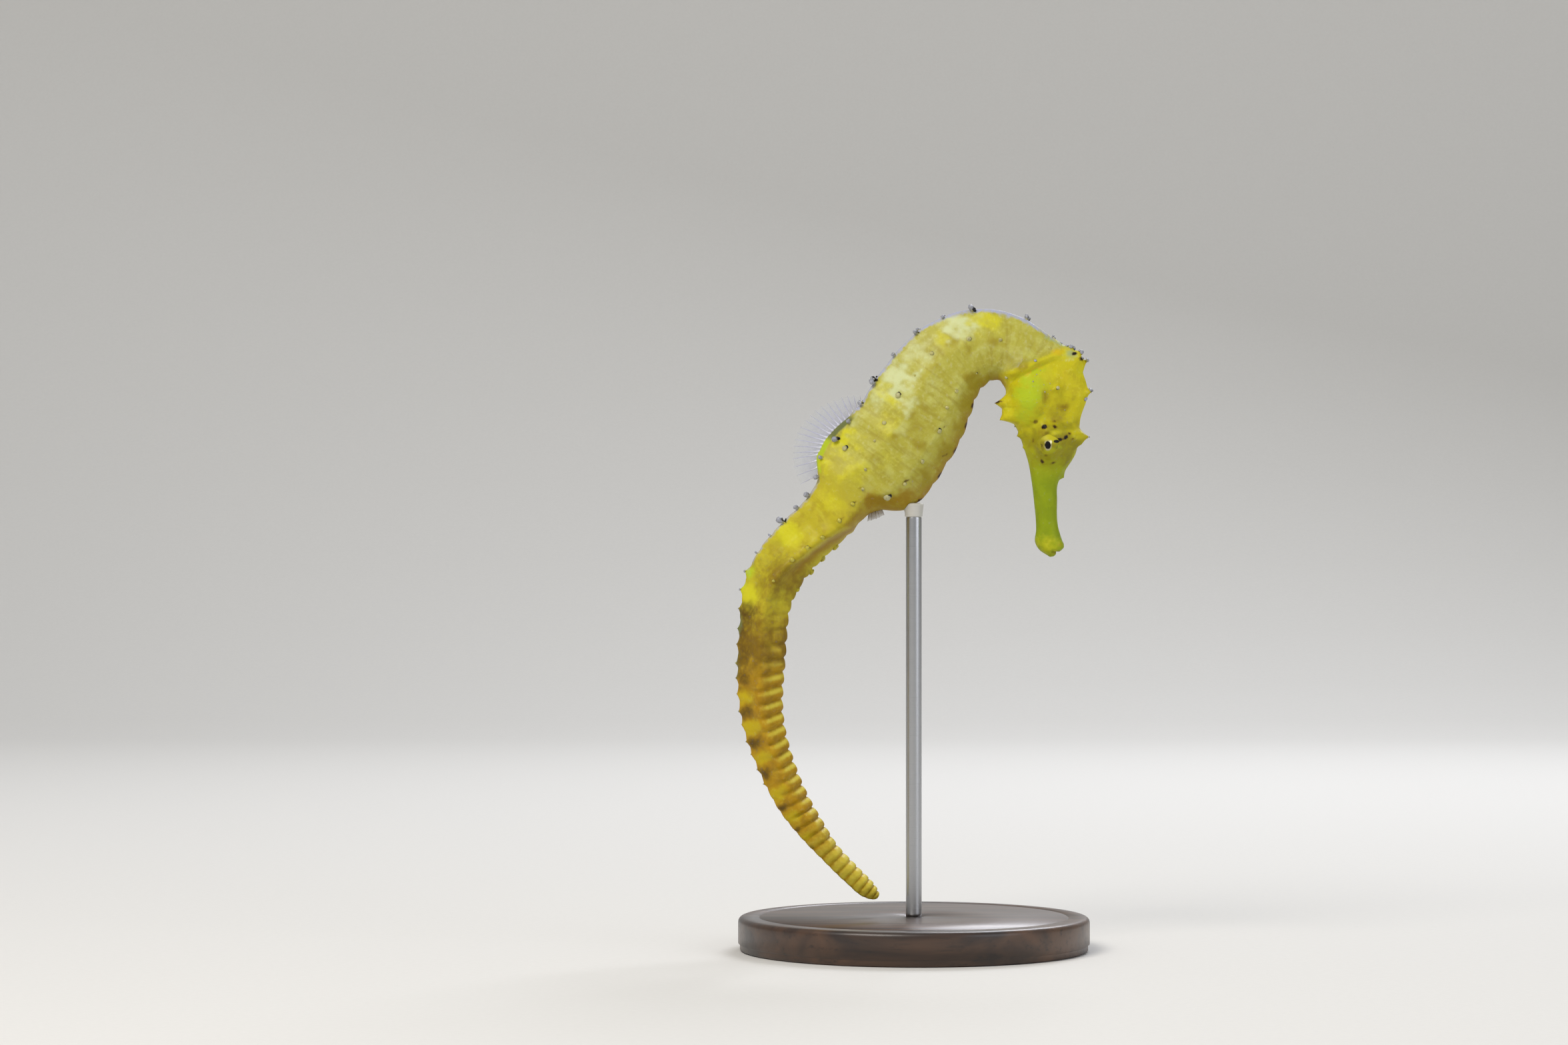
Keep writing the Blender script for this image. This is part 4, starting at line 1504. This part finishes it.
base_radius, base_middle, base_top = round_node("stand_base")
rod_radius, rod_middle, rod_top = round_node("stand_rod")
BASE_AROUND = 160
EDGE = 0.9
GROOVE_DEEP = 0.16
SOCKET_DEEP = 0.2
profile = [(0, 0), (base_radius - 1, 0), (base_radius - 0.75, 0.03), (base_radius - 0.3, 0.3),
           (base_radius - 0.3, 1.1), (base_radius - 0.22, 1.28), (base_radius, 1.4),
           (base_radius, base_top - EDGE - 0.05)]
for step in range(1, 7):
    angle = math.radians(90 * step / 6)
    profile.append((
        base_radius - EDGE * (1 - math.cos(angle)), base_top - EDGE * (1 - math.sin(angle)),
    ))
profile += [(base_radius - 3.5, base_top), (base_radius - 3.62, base_top - GROOVE_DEEP),
            (base_radius - 3.88, base_top - GROOVE_DEEP), (base_radius - 4, base_top),
            (rod_radius + 0.5, base_top), (rod_radius + 0.25, base_top - SOCKET_DEEP),
            (0, base_top - SOCKET_DEEP)]
base = turned_piece("stand_disc", profile, base_middle, BASE_AROUND, satin_wood)
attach(base, "root")
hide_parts("stand_base")

ROD_AROUND = 40
rod_foot = base_top + 0.5
profile = [(0, base_top - 0.15), (rod_radius, base_top - 0.15), (rod_radius, rod_foot)]
rod_shaft = rod_top - rod_radius - rod_foot
profile += [(rod_radius, rod_foot + rod_shaft * step / 8) for step in range(1, 9)]
for step in range(1, 9):
    angle = math.radians(90 * step / 9)
    profile.append((rod_radius * math.cos(angle), rod_top - rod_radius * (1 - math.sin(angle))))
profile.append((0, rod_top))
rod = turned_piece("stand_pole", profile, rod_middle, ROD_AROUND, brushed_steel)
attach(rod, "root")
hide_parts("stand_rod")

# The belly rests in a small cup of moulded milky silicone rubber, pushed over the rod's end. It
# looks matt and slightly translucent, and its rim follows the skin above it.
soft_rubber, tree, place = new_material("milky_silicone_rubber")
clouding = add_node(tree, "ShaderNodeTexNoise", {"Vector": place, "Scale": 700.0, "Detail": 2.0})
add_node(tree, "ShaderNodeOutputMaterial", {
    "Surface": add_node(tree, "ShaderNodeBsdfPrincipled", {
        "Base Color": painted("#c9c7c0", ("#bdbbb3", clouding)), "Roughness": 0.45, "IOR": 1.41,
        "Subsurface Weight": 0.4, "Subsurface Radius": (1, 1, 1), "Subsurface Scale": 0.0008,
    }),
})

under = skin[(turn > 0.6) & (station > 80) & (station < 112)]


def belly_above(x_at, y_at):
    """Height in mm of the belly's skin over a point on the floor."""
    gap = np.hypot(under[:, 0] - x_at, under[:, 1] - y_at)
    near = np.argsort(gap)[:8]
    return float(np.average(under[near, 2], weights=1 / (gap[near] + 0.05) ** 2))


CUP_RADIUS = 1.75
CUP_RISE = 1.3
CUP_AROUND = 48
# Radius, height from the rod's top, how far the height follows the belly instead (0 to 1).
CUP_ROWS = (
    (rod_radius * 0.9, -1, 0), (rod_radius + 0.12, -1, 0), (rod_radius + 0.17, -0.9, 0),
    (rod_radius + 0.17, -0.5, 0), (CUP_RADIUS - 0.1, -0.1, 0.3), (CUP_RADIUS, 0, 0.7),
    (CUP_RADIUS, 0, 0.9), (CUP_RADIUS - 0.08, 0, 1), (CUP_RADIUS - 0.4, 0, 1.1), (0.6, 0, 1.1),
)
cup = []
for out, height, follow in CUP_ROWS:
    for step in range(CUP_AROUND):
        angle = 2 * math.pi * step / CUP_AROUND
        x_at, y_at = rod_middle + (out * math.cos(angle), out * math.sin(angle))
        rise = min(belly_above(x_at, y_at) - rod_top, CUP_RISE) * follow
        cup.append((x_at, y_at, rod_top + height + rise))
cup_ends = [(*rod_middle, rod_top + CUP_ROWS[0][1]), (*rod_middle, cup[-1][2])]
cup = np.array(cup).reshape(-1, CUP_AROUND, 3)
belly_cup = ringed_piece("belly_cup", cup, cup_ends, soft_rubber)
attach(belly_cup, "root")
